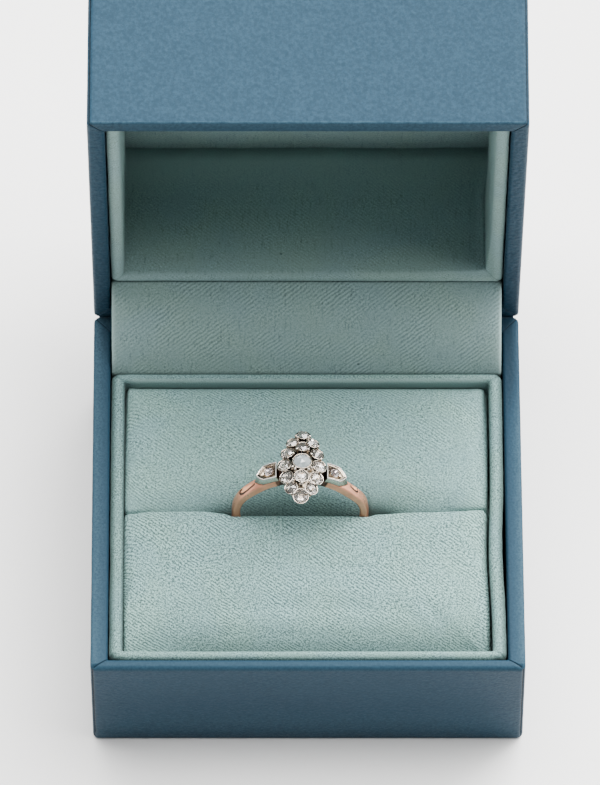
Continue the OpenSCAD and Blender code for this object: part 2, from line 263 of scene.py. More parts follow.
def add_piece(name, form, material, smooth=True):
    """Object of a form, with its cloth map and its attributes."""
    mesh = bpy.data.meshes.new(name)
    loops = np.concatenate([form["quads"].ravel(), form["triangles"].ravel()])
    quads, triangles = len(form["quads"]), len(form["triangles"])
    starts = np.concatenate([np.arange(quads) * 4, quads * 4 + np.arange(triangles) * 3])
    mesh.vertices.add(len(form["points"]))
    mesh.vertices.foreach_set("co", (form["points"] * MM).ravel().astype(np.float32))
    mesh.loops.add(len(loops))
    mesh.loops.foreach_set("vertex_index", loops.astype(np.int32))
    mesh.polygons.add(len(starts))
    mesh.polygons.foreach_set("loop_start", starts.astype(np.int32))
    mesh.polygons.foreach_set("use_smooth", np.full(len(starts), smooth))
    mesh.update(calc_edges=True)
    if mesh.validate():
        raise RuntimeError(f"{name}: the mesh had faults")
    flat = np.concatenate([form["quad_flat"].reshape(-1, 2), form["triangle_flat"].reshape(-1, 2)])
    set_cloth(mesh, flat * MM)
    set_attribute(mesh, "recess", form["recess"])
    if "facet" in form:
        set_attribute(mesh, "facet", form["facet"], "FACE")
    piece = bpy.data.objects.new(name, mesh)
    bpy.context.scene.collection.objects.link(piece)
    mesh.materials.append(material)
    return piece


def moved(form, matrix=np.eye(3), offset=(0, 0, 0)):
    """A form turned by a 3x3 matrix and then moved."""
    return {**form, "points": form["points"] @ matrix.T + offset}


def about(axis, degrees):
    """Matrix of a turn about an axis, X, Y or Z."""
    i, j = {"X": (1, 2), "Y": (2, 0), "Z": (0, 1)}[axis]
    c, s = math.cos(math.radians(degrees)), math.sin(math.radians(degrees))
    matrix = np.eye(3)
    matrix[i, i], matrix[i, j], matrix[j, i], matrix[j, j] = c, -s, s, c
    return matrix


def slid(form, shift):
    """A form with each point moved along X."""
    return {**form, "points": form["points"] + stacked(shift, 0, 0)}


def tapered(form):
    """A box piece whose right side draws in towards the hinge, as the old box's does.

    The draw is DRAW_IN at the right wall beside the hinge, falls in proportion to x and to the
    distance from the hinge, and is 0 at both rims' front and in the left half.
    """
    x, y, z = form["points"].T
    share = 1 - np.clip(np.maximum(HALF_D - y, z - BASE_H) / (2 * HALF_D), 0, 1)
    return slid(form, -DRAW_IN * share * np.clip(x, 0, None) / HALF_W)


def bowed(form):
    """A piece of the base whose right side bows inwards, most beside the front pad's middle."""
    x, y, _ = form["points"].T
    return slid(form, -BOW_IN * np.exp(-(((y - BOW_Y) / BOW_REACH) ** 2)) * ease(14, 28, x))


def ease(low, high, value):
    """0 below low, 1 above high, and a smooth cubic step between them."""
    t = np.clip((value - low) / (high - low), 0, 1)
    return t * t * (3 - 2 * t)


def bent(value, power):
    """A power of the value's size, with the value's sign."""
    return np.sign(value) * np.abs(value) ** power


def quarter(distance, radius):
    """How far a quarter circle of a radius has still to rise, at a distance from its edge."""
    return radius - np.sqrt(np.maximum(radius**2 - np.clip(radius - distance, 0, None) ** 2, 0))


def ripple(x, y, seed, size, octaves=3):
    """Smooth pseudo-random height in -1..1: sums of sines in directions drawn from seed."""
    draw = np.random.default_rng(seed)
    total = np.zeros(np.broadcast(x, y).shape)
    for octave in range(octaves):
        for _ in range(4):
            turn, phase = draw.uniform(0, 2 * np.pi, 2)
            step = 2 * np.pi * 1.9**octave / size * draw.uniform(0.7, 1.3)
            total += np.sin((x * np.cos(turn) + y * np.sin(turn)) * step + phase) / 1.7**octave
    return total / 6


DRAW_IN = 0.45    # how far the box's right side draws in beside the hinge
BOW_IN, BOW_Y, BOW_REACH = 0.38, -9.2, 7.5    # bow of the base's right side: depth, middle, reach
CORNER_STEPS = 14
SIDE_STEPS = 40


def rect_loops(rows):
    """One rounded rectangle for each row [x0, x1, y0, y1, radius, z], anticlockwise.

    Each corner is an arc of CORNER_STEPS + 1 points about its centre, and each side between two
    arcs is cut into SIDE_STEPS, so point j of one row lies beside point j of the next.
    """
    x0, x1, y0, y1, r, z = np.asarray(rows, float).T[:, :, None]
    turn = np.linspace(0, np.pi / 2, CORNER_STEPS + 1)
    t = np.linspace(0, 1, SIDE_STEPS + 1)[1:-1, None]
    arcs = []
    for corner, (cx, cy) in enumerate(
        [(x1 - r, y0 + r), (x1 - r, y1 - r), (x0 + r, y1 - r), (x0 + r, y0 + r)]
    ):
        a = turn + (corner - 1) * np.pi / 2
        arcs.append(stacked(cx + r * np.cos(a), cy + r * np.sin(a)))
    pieces = []
    for arc, after in zip(arcs, arcs[1:] + arcs[:1]):
        start, end = arc[:, -1:], after[:, :1]
        pieces += [arc, start + (end - start) * t]
    x, y = np.moveaxis(np.concatenate(pieces, 1), -1, 0)
    return stacked(x, y, z)


LOOP_POINTS = 4 * (CORNER_STEPS + SIDE_STEPS)
CORNER_MIDDLES = np.arange(4) * (CORNER_STEPS + SIDE_STEPS) + CORNER_STEPS // 2


def near_corner(width):
    """For each point of a loop, 1 at the middle of a corner, falling off over width points.

    width is one number, or four for the corners in the order of rect_loops.
    """
    j = np.arange(LOOP_POINTS)[:, None]
    far = np.abs((j - CORNER_MIDDLES + LOOP_POINTS // 2) % LOOP_POINTS - LOOP_POINTS // 2)
    return np.exp(-((far / width) ** 2)).max(1)


def path_length(points):
    """Distance along a line of points, from its start."""
    return np.append(0, np.cumsum(np.linalg.norm(np.diff(points, axis=0), axis=1)))


def run_length(loops):
    """Unrolled place [along the loop, down the rows] of a grid that wraps its columns."""
    closed = np.concatenate([loops, loops[:, :1]], 1)
    along = np.append(0, np.cumsum(np.linalg.norm(np.diff(closed, axis=1), axis=-1).max(0)))
    down = np.append(0, np.cumsum(np.linalg.norm(np.diff(loops, axis=0), axis=-1).max(1)))
    down = np.append(down, 2 * down[-1] - down[-2])
    return np.stack(np.meshgrid(along, down), -1)


# ---------------------------------------------------------------- material groups


def feed(tree, node, inputs):
    """Fills a node's inputs: a socket is linked, and a value is set on the input itself."""
    for key, value in inputs.items():
        if isinstance(value, bpy.types.NodeSocket):
            tree.links.new(value, node.inputs[key])
        else:
            node.inputs[key].default_value = value


def place(tree, kind, inputs=None, **settings):
    """New node with its settings and its inputs."""
    node = tree.nodes.new(kind)
    for key, value in settings.items():
        setattr(node, key, value)
    feed(tree, node, inputs or {})
    return node


def noise(tree, vector, scale, detail, **more):
    """Noise in 0..1."""
    inputs = {"Vector": vector, "Scale": scale, "Detail": detail, **more}
    return place(tree, "ShaderNodeTexNoise", inputs).outputs["Fac"]


def span(tree, value, low, high, to_low=0.0, to_high=1.0):
    """Value from low..high mapped to to_low..to_high, clamped."""
    return place(tree, "ShaderNodeMapRange", {
        "Value": value, "From Min": low, "From Max": high, "To Min": to_low, "To Max": to_high}).outputs[0]


class Group:
    """A shader node group under construction, with short ways to add and join nodes."""

    def __init__(self, name, **inputs):
        """inputs holds the default of each number, and None for a vector."""
        self.tree = bpy.data.node_groups.new(name, "ShaderNodeTree")
        for socket, default in inputs.items():
            kind = "NodeSocketVector" if default is None else "NodeSocketFloat"
            made = self.tree.interface.new_socket(socket, in_out="INPUT", socket_type=kind)
            if default is not None:
                made.default_value = default
        self.source = self.tree.nodes.new("NodeGroupInput").outputs

    def math(self, operation, a, b=0.0):
        """Result of an operation on one or two values."""
        return place(self.tree, "ShaderNodeMath", {0: a, 1: b}, operation=operation).outputs[0]

    def parts(self, vector):
        """X, Y and Z of a vector."""
        return place(self.tree, "ShaderNodeSeparateXYZ", {0: vector}).outputs

    def stretched(self, vector, *factors):
        """A vector with its first parts multiplied, and the others 0."""
        parts = self.parts(vector)
        drawn = {k: self.math("MULTIPLY", parts[k], factor) for k, factor in enumerate(factors)}
        return place(self.tree, "ShaderNodeCombineXYZ", drawn).outputs[0]

    def give(self, **outputs):
        """Adds the group's outputs and links them."""
        for socket in outputs:
            self.tree.interface.new_socket(socket, in_out="OUTPUT", socket_type="NodeSocketFloat")
        feed(self.tree, self.tree.nodes.new("NodeGroupOutput"), outputs)


def nap_group():
    """Pile of the velvet, over the twill of its ground.

    Clumps of fibre are a distorted noise with a finer one on top, stronger in some patches than
    in others. The twill is a sine across lines turned by Angle, bent by noise and showing only
    in patches. Streaks are short brush marks down the cloth, and lint is sparse small specks.
    Lie is a slow noise for where the pile leans another way.
    """
    g = Group("Velvet Nap", Cloth=None, Pitch=0.00045, Angle=0.7, Twill=1.0, Depth=1.0)
    cloth = g.source["Cloth"]

    def about_zero(vector, scale, **more):
        """Noise in -0.5..0.5."""
        return g.math("SUBTRACT", noise(g.tree, vector, scale, 2.0, **more), 0.5)

    def patch(vector, scale, low, high):
        """Slow mask that goes from low to high."""
        return span(g.tree, about_zero(vector, scale), -0.10, 0.10, low, high)

    turned = place(g.tree, "ShaderNodeVectorRotate", {"Vector": cloth, "Angle": g.source["Angle"]},
                   rotation_type="Z_AXIS").outputs[0]
    across = g.math("ADD", g.math("DIVIDE", g.parts(turned)[1], g.source["Pitch"]),
                    g.math("MULTIPLY", about_zero(turned, 600.0), 1.2))
    line = g.math("MULTIPLY", g.math("SINE", g.math("MULTIPLY", across, 2 * math.pi)),
                  g.math("MULTIPLY", patch(turned, 170.0, 0.0, 1.0), g.source["Twill"]))
    clump = g.math("MULTIPLY", about_zero(cloth, 3500.0, Roughness=0.7, Distortion=0.4),
                   patch(cloth, 210.0, 1.1, 2.1))
    pile = g.math("ADD", clump, g.math("MULTIPLY", about_zero(cloth, 6500.0), 0.9))
    streak = span(g.tree, about_zero(g.stretched(cloth, 2600.0, 420.0), 1.0), 0.08, 0.22)
    cells = place(g.tree, "ShaderNodeTexVoronoi", {"Vector": cloth, "Scale": 260.0}).outputs
    lint = g.math("MULTIPLY", span(g.tree, g.parts(cells["Color"])[0], 0.86, 0.88),
                  span(g.tree, cells["Distance"], 0.035, 0.06, 1.0, 0.0))
    marks = g.math("ADD", g.math("MULTIPLY", streak, 0.08), g.math("MULTIPLY", lint, 0.22))
    height = g.math("ADD", g.math("MULTIPLY", line, 0.100), g.math("MULTIPLY", pile, g.source["Depth"]))
    g.give(Height=height, Shade=g.math("SUBTRACT", height, marks),
           Lie=noise(g.tree, cloth, 110.0, 3.0, Distortion=0.5))


def grain_group():
    """Pebbled grain: rounded cells of two sizes with creases between them, and fine flecks."""
    g = Group("Pebbled Grain", Place=None, Size=0.00034)
    where = g.source["Place"]
    scale = g.math("DIVIDE", 1.0, g.source["Size"])
    pebble = place(g.tree, "ShaderNodeTexVoronoi", {
        "Vector": where, "Scale": scale, "Smoothness": 0.6, "Randomness": 1.0},
        feature="SMOOTH_F1").outputs["Distance"]
    crease = noise(g.tree, where, g.math("MULTIPLY", scale, 0.8), 3.0)
    g.give(Height=g.math("SUBTRACT", g.math("MULTIPLY", crease, 0.7), pebble),
           Fleck=noise(g.tree, where, g.math("MULTIPLY", scale, 1.4), 2.0, Roughness=0.8),
           Wear=noise(g.tree, where, 70.0, 4.0))


def polish_group():
    """Worn polish of old metal: long fine scratches, soft dents and cloudy patches."""
    g = Group("Worn Polish", Place=None)
    where = g.source["Place"]
    scratch = noise(g.tree, g.stretched(where, 900.0, 9000.0, 900.0), 1.0, 3.0)
    dent = noise(g.tree, where, 900.0, 2.0)
    g.give(Height=g.math("ADD", g.math("MULTIPLY", scratch, 0.35), dent),
           Cloud=noise(g.tree, where, 420.0, 4.0))


def shader(name, base, constants):
    """New material and its Principled shader, with constants on the shader's own sockets."""
    material = bpy.data.materials.new(name)
    material.use_nodes = True
    tree = material.node_tree
    principled = tree.nodes["Principled BSDF"]
    feed(tree, principled, {"Base Color": (*base, 1), **constants})
    return material, tree, principled


def mixed(tree, factor, a, b, blend="MIX"):
    """Colour between a and b, which are sockets or colours, by a factor."""
    a, b = ((*c, 1) if isinstance(c, tuple) else c for c in (a, b))
    return place(tree, "ShaderNodeMix", {0: factor, 6: a, 7: b}, data_type="RGBA", blend_type=blend).outputs[2]


def grouped(tree, name, **inputs):
    """Outputs of a shared group; a group with a Place is given the object's coordinates."""
    group = bpy.data.node_groups[name]
    if "Place" in group.interface.items_tree:
        inputs["Place"] = object_place(tree)
    return place(tree, "ShaderNodeGroup", inputs, node_tree=group).outputs


def object_place(tree):
    """Object coordinates."""
    return place(tree, "ShaderNodeTexCoord").outputs["Object"]


def attribute(tree, name):
    """A number kept in the mesh."""
    return place(tree, "ShaderNodeAttribute", attribute_name=name).outputs["Fac"]


def bumped(tree, height, strength, distance):
    """Normal of a surface with a height on it."""
    inputs = {"Height": height, "Strength": strength, "Distance": distance}
    return place(tree, "ShaderNodeBump", inputs).outputs[0]


def product(tree, a, b):
    """Two masks multiplied, clamped to 0..1."""
    return place(tree, "ShaderNodeMath", {0: a, 1: b}, operation="MULTIPLY", use_clamp=True).outputs[0]


def tinted(base, factor, shift=(0, 0, 0)):
    """A colour made lighter or darker, with a small shift of its channels."""
    return tuple(float(np.clip(c * factor + s, 0, 1)) for c, s in zip(base, shift))


def velvet_material(name, base, pitch, degrees, twill, depth):
    """Velvet: nap group over the cloth map, with a soft sheen. Where the recess attribute is above 0
    it paints shade, and where it is below it paints light, paler."""
    material, tree, principled = shader(name, base, {
        "Roughness": 0.92, "Specular IOR Level": 0.06, "Sheen Weight": 0.12, "Sheen Roughness": 0.45,
        "Sheen Tint": (0.70, 0.86, 0.85, 1)})
    nap = grouped(tree, "Velvet Nap", Cloth=place(tree, "ShaderNodeUVMap", uv_map="Cloth").outputs[0],
                  Pitch=pitch, Angle=math.radians(degrees), Depth=depth, Twill=twill)
    light, dark = tinted(base, 1.65, (0.004, 0.006, 0.008)), tinted(base, 0.42, (-0.004, -0.004, 0.0))
    lines = mixed(tree, span(tree, nap["Shade"], -0.24, 0.24), dark, light)
    patches = mixed(tree, span(tree, nap["Lie"], 0.36, 0.64), (0.955, 0.965, 0.995), (1.0, 1.0, 0.965))
    soiled = mixed(tree, 1.0, lines, patches, "MULTIPLY")
    # Painted shade where the recess is above 0, and painted light, paler, where it is below.
    recess = attribute(tree, "recess")
    worn = mixed(tree, span(tree, recess, -1.0, 0.0, 1.0, 0.0), soiled, tinted(base, 1.35, (0.05, 0.05, 0.05)))
    feed(tree, principled, {
        "Base Color": mixed(tree, recess, worn, tinted(base, 0.18)),
        "Normal": bumped(tree, nap["Height"], 0.45, 0.00010)})
    return material


def leatherette_material(name, base, size, contrast, relief):
    """Leatherette: pebbled grain, flecks and slow patches. Where the recess attribute is above 0 it
    paints shade in the corner slits, along the mitres and over the rim's inner half; where it is
    below, the pebbles' tops are paler, partly wear and partly painted light."""
    material, tree, principled = shader(name, base, {"Specular IOR Level": 0.055})
    grain = grouped(tree, "Pebbled Grain", Size=size)
    flecks = mixed(tree, span(tree, grain["Fleck"], 0.40, 0.66),
                   tinted(base, 1 - 0.05 * contrast), tinted(base, 1 + 0.12 * contrast))
    rubbed_and_lit = mixed(tree, span(tree, grain["Wear"], 0.40, 0.70), (0.94, 0.95, 0.96), (1.0, 1.0, 1.0))
    worn = mixed(tree, 1.0, flecks, rubbed_and_lit, "MULTIPLY")
    # Painted shade where the recess is above 0; below 0 the pebbles' tops are paler, partly wear and partly
    # painted light.
    recess = attribute(tree, "recess")
    tops = product(tree, span(tree, recess, -1.0, 0.0, 1.0, 0.0),
                   span(tree, grain["Fleck"], 0.38, 0.62, 0.45, 1.25))
    pale = mixed(tree, tops, worn, tinted(base, 1.3, (0.0120, 0.0180, 0.0180)))
    feed(tree, principled, {
        "Base Color": mixed(tree, recess, pale, tinted(base, 0.05)),
        "Roughness": span(tree, grain["Fleck"], 0.3, 0.7, 0.50, 0.36),
        "Normal": bumped(tree, grain["Height"], relief, 0.00008)})
    return material


def metal_material(name, base, roughness, metallic, highlight_tint, warm, tarnish_and_shade):
    """Old polished metal with scratches and cloudy polish. Where the recess attribute is above 0
    it is first warm and then dark: tarnish, deepened by painted shade under the head, low on the
    head and on the shoulders' inner end walls. Where it is below, a pale, less metallic tint is a
    painted highlight."""
    material, tree, principled = shader(name, base, {})
    polish = grouped(tree, "Worn Polish")
    cloud, recess = polish["Cloud"], attribute(tree, "recess")
    cloudy = mixed(tree, span(tree, cloud, 0.38, 0.64), tinted(base, 0.80), tinted(base, 1.10))
    # A painted highlight where the recess is below 0; tarnish and painted shade where it is above.
    bright = mixed(tree, span(tree, recess, -1.0, 0.0, 1.0, 0.0), cloudy, highlight_tint)
    yellowed = mixed(tree, span(tree, recess, 0.0, 0.5), bright, warm)
    patchy = product(tree, span(tree, recess, 0.2, 1.0), span(tree, cloud, 0.40, 0.60, 0.7, 1.6))
    feed(tree, principled, {
        "Base Color": mixed(tree, patchy, yellowed, tarnish_and_shade),
        "Metallic": span(tree, recess, -1.0, 0.0, 0.2, metallic),
        "Roughness": span(tree, cloud, 0.35, 0.65, roughness * 1.35, roughness * 0.8),
        "Normal": bumped(tree, polish["Height"], 0.25, 0.00004)})
    return material


def diamond_material(name, clear, shaded, transmission):
    """Clear stone with plain transmission. The facet attribute, 0 to 1, runs from the shaded to
    the clear tint, and faint inclusions cloud both."""
    material, tree, principled = shader(name, clear, {
        "Roughness": 0.02, "Transmission Weight": transmission, "IOR": 2.2})
    cloud = noise(tree, object_place(tree), 1100.0, 3.0)
    fire = mixed(tree, span(tree, attribute(tree, "facet"), 0.15, 0.75), shaded, clear)
    feed(tree, principled, {
        "Base Color": mixed(tree, span(tree, cloud, 0.45, 0.70, 0.0, 0.5), fire, tinted(clear, 0.8))})
    return material


def floor_material(base):
    """Matt pale board with a very faint tooth."""
    material, tree, principled = shader("Stage Floor", base, {"Roughness": 0.85})
    tooth = span(tree, noise(tree, object_place(tree), 900.0, 3.0), 0.3, 0.7)
    feed(tree, principled, {"Base Color": mixed(tree, tooth, tinted(base, 0.99), base)})
    return material


MATERIALS = {}

# [name, share of the base's grain, contrast, relief]
LEATHERETTES = {
    "base": ("Leatherette", 1.0, 1.0, 0.36),
    "lid_cover": ("Lid Leatherette", 1.5, 2.1, 0.55),
}
# [name, setting of its colour, tone, share of the twill's pitch, its angle, its strength, depth
# of the pile]
VELVETS = {
    "front_pad": ("Front Pad Velvet", "colour", 1.0, 1.0, 38, 2.5, 1.4),
    "back_pad": ("Back Pad Velvet", "colour", 1.0, 1.0, 38, 1.15, 0.70),
    "tray": ("Tray Velvet", "colour", 0.86, 1.0, 38, 0.5, 0.8),
    "flap": ("Flap Velvet", "lid_colour", 0.95, 1.15, -38, 0.9, 0.28),
    "lid": ("Lid Velvet", "lid_colour", 1.0, 1.0, -38, 0.35, 0.26),
    # The panel is the lid's velvet made 1.35 times lighter: painted light deep in the lid.
    "panel": ("Panel Velvet", "lid_colour", 1.35, 1.0, -38, 0.35, 0.26),
}
# [name, setting of its colour, roughness, metallic, painted highlight, warm, tarnish and painted shade]
METALS = {
    "gold": ("Rose Gold", "gold", 0.34, 0.85,
             (1.0, 0.48, 0.26), (0.55, 0.25, 0.15), (0.045, 0.024, 0.018)),
    "silver": ("Silver", "silver_colour", 0.20, 1.0,
               (0.94, 0.88, 0.84), (0.57, 0.47, 0.36), (0.030, 0.024, 0.017)),
}
# [name, clear tint, shaded tint, transmission]
DIAMONDS = {
    "diamond": ("Diamond", (0.990, 0.950, 0.900), (0.64, 0.57, 0.49), 0.94),
    "centre_diamond": ("Centre Diamond", (0.80, 0.88, 0.90), (0.50, 0.60, 0.62), 0.6),
    "shoulder_diamond": ("Shoulder Diamond", (0.96, 0.84, 0.83), (0.55, 0.43, 0.42), 0.94),
}


# ---------------------------------------------------------------- covering


RIM_REACH = 1.2    # the straight parts of the walls end this far below the rim
CORNER_GROOVES = np.array([1.1, 0.75, 0.75, 1.1])    # widths in points: front, back, back, front
FILLET_WIDTHS = np.array([0.01, 11.0, 0.01, 0.01])    # only the corner at the right and the back
GROOVE_IN, MITRE_IN = 0.20, 0.14    # depth of the wrap's folds down the corners and across the rim


def shell_form(height, floor_t, wall, front_wall, corner, edge, front_round, worn, inner_shade, seed):
    """Wrapped box shell, open upwards.

    Rows run from the middle of the underside, round the lower edge, up the outside, over the
    rim, down the inside and to the middle of the floor. Each row is a rounded rectangle between
    the outer outline at share 0 and the inner one at share 1. Quarter circles lower the rim at
    both edges: the outer one is front_round times as wide along the front and narrow at the
    back, where base and lid meet. Grooves lie along the rim's mitres and down the corners,
    where the wrap folds, and are darkened with painted shade. The wear and light is how pale
    the rim is at its left, its right and its front, most at the outer edge and least at the
    right towards the back: partly wear and partly painted light. Its last number is how far
    painted light makes the front paler towards its foot. The inner shade is how far painted
    shade darkens the inner half of the rim at its left and its right.
    """
    outer = np.array([-HALF_W, HALF_W, -HALF_D, HALF_D, corner])
    inner = np.array([-HALF_W + wall, HALF_W - wall, -HALF_D + front_wall, HALF_D - wall, 0.3])
    a = np.linspace(0, np.pi / 2, 6)
    # [share, inset from the outline, height] of each row
    table = np.vstack([
        [[0, HALF_D * 0.8, 0], [0, HALF_D * 0.3, 0]],
        stacked(0, edge * (1 - np.sin(a)), edge * (1 - np.cos(a))),
        stacked(0, 0, np.linspace(edge, height - RIM_REACH, 15)[1:]),
        stacked((1 - np.cos(np.linspace(0, np.pi, 27))) / 2, 0, height),
        stacked(1, 0, np.linspace(height - RIM_REACH, floor_t, 8)),
        [[1, HALF_D * 0.75, floor_t]]])
    share, inset = table[:, :1], table[:, 1:2]
    boxes = outer + (inner - outer) * share + inset * np.array([1, -1, 1, -1, 0])
    boxes[:, 4:] = np.maximum(boxes[:, 4:] - inset, 0.05)
    loops = rect_loops(np.column_stack([boxes, table[:, 2]]))
    x, y, z = np.moveaxis(loops, -1, 0)

    rim = table[:, 2:] == height
    outer_y = y[rim[:, 0]][:1]
    front = ease(-HALF_D + 1.2, -HALF_D + 0.3, outer_y)
    back = ease(HALF_D - 1.2, HALF_D - 0.3, outer_y)
    thick = wall + (front_wall - wall) * front
    radius = edge * (1 + (front_round - 1) * front - 0.7 * back)
    wrinkle = 0.03 * ripple(x, y * 1.7, seed + 1, 2.6) * (0.4 + 0.6 * front)
    lowered = quarter(share * thick, radius) + quarter((1 - share) * thick, edge)
    z = z + rim * (0.03 * np.sin(share * np.pi) + wrinkle * np.sin(share * np.pi) - lowered)

    groove = near_corner(CORNER_GROOVES)
    outside = (share < 0.03) & (inset < edge)
    upright = groove * outside * ease(0.1, 1.2, z) * ease(height, height - 0.3, z)
    mitre = groove * rim * (z > height - 0.7 * edge)
    soft = np.abs(0.035 * ripple(x + z, y - z, seed, 9.0)) * outside * ease(0, 2, z)
    x = x - np.sign(x) * (GROOVE_IN * upright + soft * (np.abs(x) > HALF_W - 1))
    y = y - np.sign(y) * (GROOVE_IN * upright + soft * (np.abs(y) > HALF_D - 1))
    z = z - MITRE_IN * mitre

    # Painted light and shade on the rim: paler at the outer edge, partly wear, and less at the back right,
    # where shadow falls; painted light paler towards the front's foot; painted shade over the rim's inner half.
    # The corner slits and the mitres get painted shade.
    left, right, lip, foot = worn
    side = (left + right) / 2 + (right - left) / 2 * x / HALF_W - 0.9 * ease(0, HALF_W, x) * ease(8, 20, y)
    side = np.clip(side, 0, None)
    rubbed_and_lit = rim * (side + (lip - side) * front) * (share > 0) * np.clip(1.2 - 1.15 * share, 0.15, None)
    rubbed_and_lit = rubbed_and_lit + foot * outside * front * ease(12, 3, z)
    rubbed_and_lit = rubbed_and_lit - rim * (1 - front) * np.where(x < 0, *inner_shade) * ease(0.0, 0.55, share)
    recess = np.clip(1.1 * upright + 0.9 * mitre, 0, 1) - rubbed_and_lit * (1 - np.clip(upright + mitre, 0, 1))
    return closed_form(stacked(x, y, z), flat=run_length(loops), recess=recess)


def fold_form():
    """Rolled fold of leatherette that closes the joint behind the two back walls.

    A rounded rectangle in Y and Z is carried along X and closed at both ends by poles.
    """
    turn = np.linspace(0, 2 * np.pi, 32, endpoint=False)
    half_x, ends = HALF_W - 0.7, np.array([0.2, 0.75, 1.0])
    size = np.concatenate([ends, np.ones(60), ends[::-1]])[:, None]
    body = np.linspace(0.15 - half_x, half_x - 0.15, 62)
    xs = np.hstack([-half_x, 0.03 - half_x, body, half_x - 0.03, half_x])[:, None]
    y = FOLD_Y + FOLD_HALF[0] * bent(np.cos(turn), 0.6) * size
    z = FOLD_Z + FOLD_HALF[1] * bent(np.sin(turn), 0.6) * size
    return closed_form(stacked(xs, y, z + 0.03 * ripple(xs, 0, 9, 8.0)))


def on_lid(form, lift=0.0):
    """A form drawn with its opening upwards, put where the lid stands open.

    It is turned over onto the shut box, lift above the rim, and swung up about the hinge. This
    mirrors it, so its faces are reversed.
    """
    x, y, z = form["points"].T
    faces = {key: form[key][:, ::-1] for key in ("quads", "quad_flat", "triangles", "triangle_flat")}
    return {**form, **faces, "points": stacked(x, HALF_D + (lift - z), BASE_H + HALF_D - y)}


# ---------------------------------------------------------------- lining


def tray_form(x0, x1, y0, y1, bottom, top, side, front, back, corner, seed, crest, painted_shade, worn, fillet):
    """Velvet-covered frame with a rounded upper edge: outer wall, rim and inner wall, closed below.

    A row's share goes from 0 on the outer outline to 1 on the inner one. The upper edge is half
    an ellipse over the wall's thickness, and the nap makes it waver a little. crest is a power
    of the share, at the left and at the right: below 1 it moves the crest outwards. The painted
    shade is how dark the edges of the left and the right wall are painted, and the mitres at
    the corners get a little painted shade too. The wear and light is how much painted light
    makes the back wall's inner edge and the deep inside paler. fillet is how far the inner
    corner at the right and the back is filled near the top.
    """
    outer = np.array([x0, x1, y0, y1, corner])
    inner = np.array([x0 + side, x1 - side, y0 + front, y1 - back, 0.35])
    lift = 0.92     # height of the half ellipse
    climb = np.linspace(bottom, top - lift, 10)
    shares = np.concatenate([np.zeros(9), (1 - np.cos(np.linspace(0, np.pi, 15))) / 2, np.ones(9)])[:, None]
    heights = np.concatenate([climb[:-1], np.full(15, climb[-1]), np.linspace(top - lift, bottom, 10)[1:]])
    loops = rect_loops(np.column_stack([outer + (inner - outer) * shares, heights]))
    x, y, z = np.moveaxis(loops, -1, 0)
    power = (crest[0] + crest[1]) / 2 + (crest[1] - crest[0]) / 2 * np.clip(x / TRAY_HIGH[0] * 1.1, -1, 1)
    z += lift * np.clip(1 - (1 - 2 * shares**power) ** 2, 0, 1) ** 0.45
    high = ease(bottom + 2, top - 1, z)
    x += 0.07 * ripple(x * 1.3, y, seed, 7.0) * high * (1 - shares)
    z += 0.05 * ripple(x, y * 1.1, seed + 1, 5.0) * high * (z > top - 0.5)
    mitre = near_corner(1.6) * (z > top - lift * 0.7)
    z -= 0.10 * mitre
    filled = near_corner(FILLET_WIDTHS) * (shares > 0.9) * ease(bottom + 1, bottom + 10, z)
    x -= fillet * filled
    y -= fillet * filled
    # Painted shade along the side walls' edges and in the mitres, and painted light on the back wall's inner
    # edge and deep inside.
    at_side = ease(x1 - side - 0.7, x1 - side, np.abs(x)) * high
    edges = np.where(x < 0, *painted_shade) * (1 - ease(0.06, 0.55, shares))
    edges = edges + 0.9 * painted_shade[0] * (x < 0) * ease(0.84, 1, shares)
    at_back = ease(y1 - back - 0.7, y1 - back, y) * high * (1 - at_side)
    far = worn[1] * (1 - 0.35 * x / x1) * ease(bottom + 9, bottom + 1, z) * (shares > 0.9)
    recess = np.clip(0.25 * mitre + at_side * edges, 0, 1) - worn[0] * at_back * ease(0.55, 0.9, shares) - far
    return grid_form(loops, wrap=(True, True), flat=run_length(loops), recess=recess)


FLAP_TAIL = 2.6    # how far the flap is tucked in at each end
TAIL_STEPS = 8


def flap_line(lining):
    """Profile of the flap in [y, z]: a chord from the base tray to the lid tray, bowed out by a
    parabola, with a short tail tucked in at each end."""
    bow = lining.bow / MM
    start = np.array([TRAY_HIGH[1] - 0.02 - HALF_D, -0.45])
    end = np.array([lining.recess / MM + 0.25, HALF_D - TRAY_HIGH[1] + 0.02])
    chord = end - start
    out = np.array([-chord[1], chord[0]]) / np.linalg.norm(chord)
    t = np.linspace(0, 1, 61)[:, None]
    line = start + chord * t + out * 4 * bow * t * (1 - t)
    tail = FLAP_TAIL * np.linspace(0, 1, TAIL_STEPS + 1)[1:, None]
    before, after = start - tail[::-1] * np.array([0, 1]), end + tail * np.array([1, 0])
    return np.vstack([before, line, after]) + np.array([HALF_D, BASE_H])


def ring_y(z, lean):
    """Where the ring's middle plane lies at height z."""
    return RING_CENTRE[1] + math.tan(lean) * (z - RING_CENTRE[2])


# Where the slot wanders beside the ring: [x, how far behind the ring's middle plane]
SLOT_WANDER = np.array([
    [-29, -0.26], [-25, -0.24], [-22.7, -0.05], [-19.1, 0.02], [-15.5, 0.08], [-12.6, 0.07], [-9.8, 0.0],
    [9.0, -0.16], [13.3, -0.18], [17.6, -0.09], [21.9, 0.22], [24.8, 0.33], [29, 0.40]])


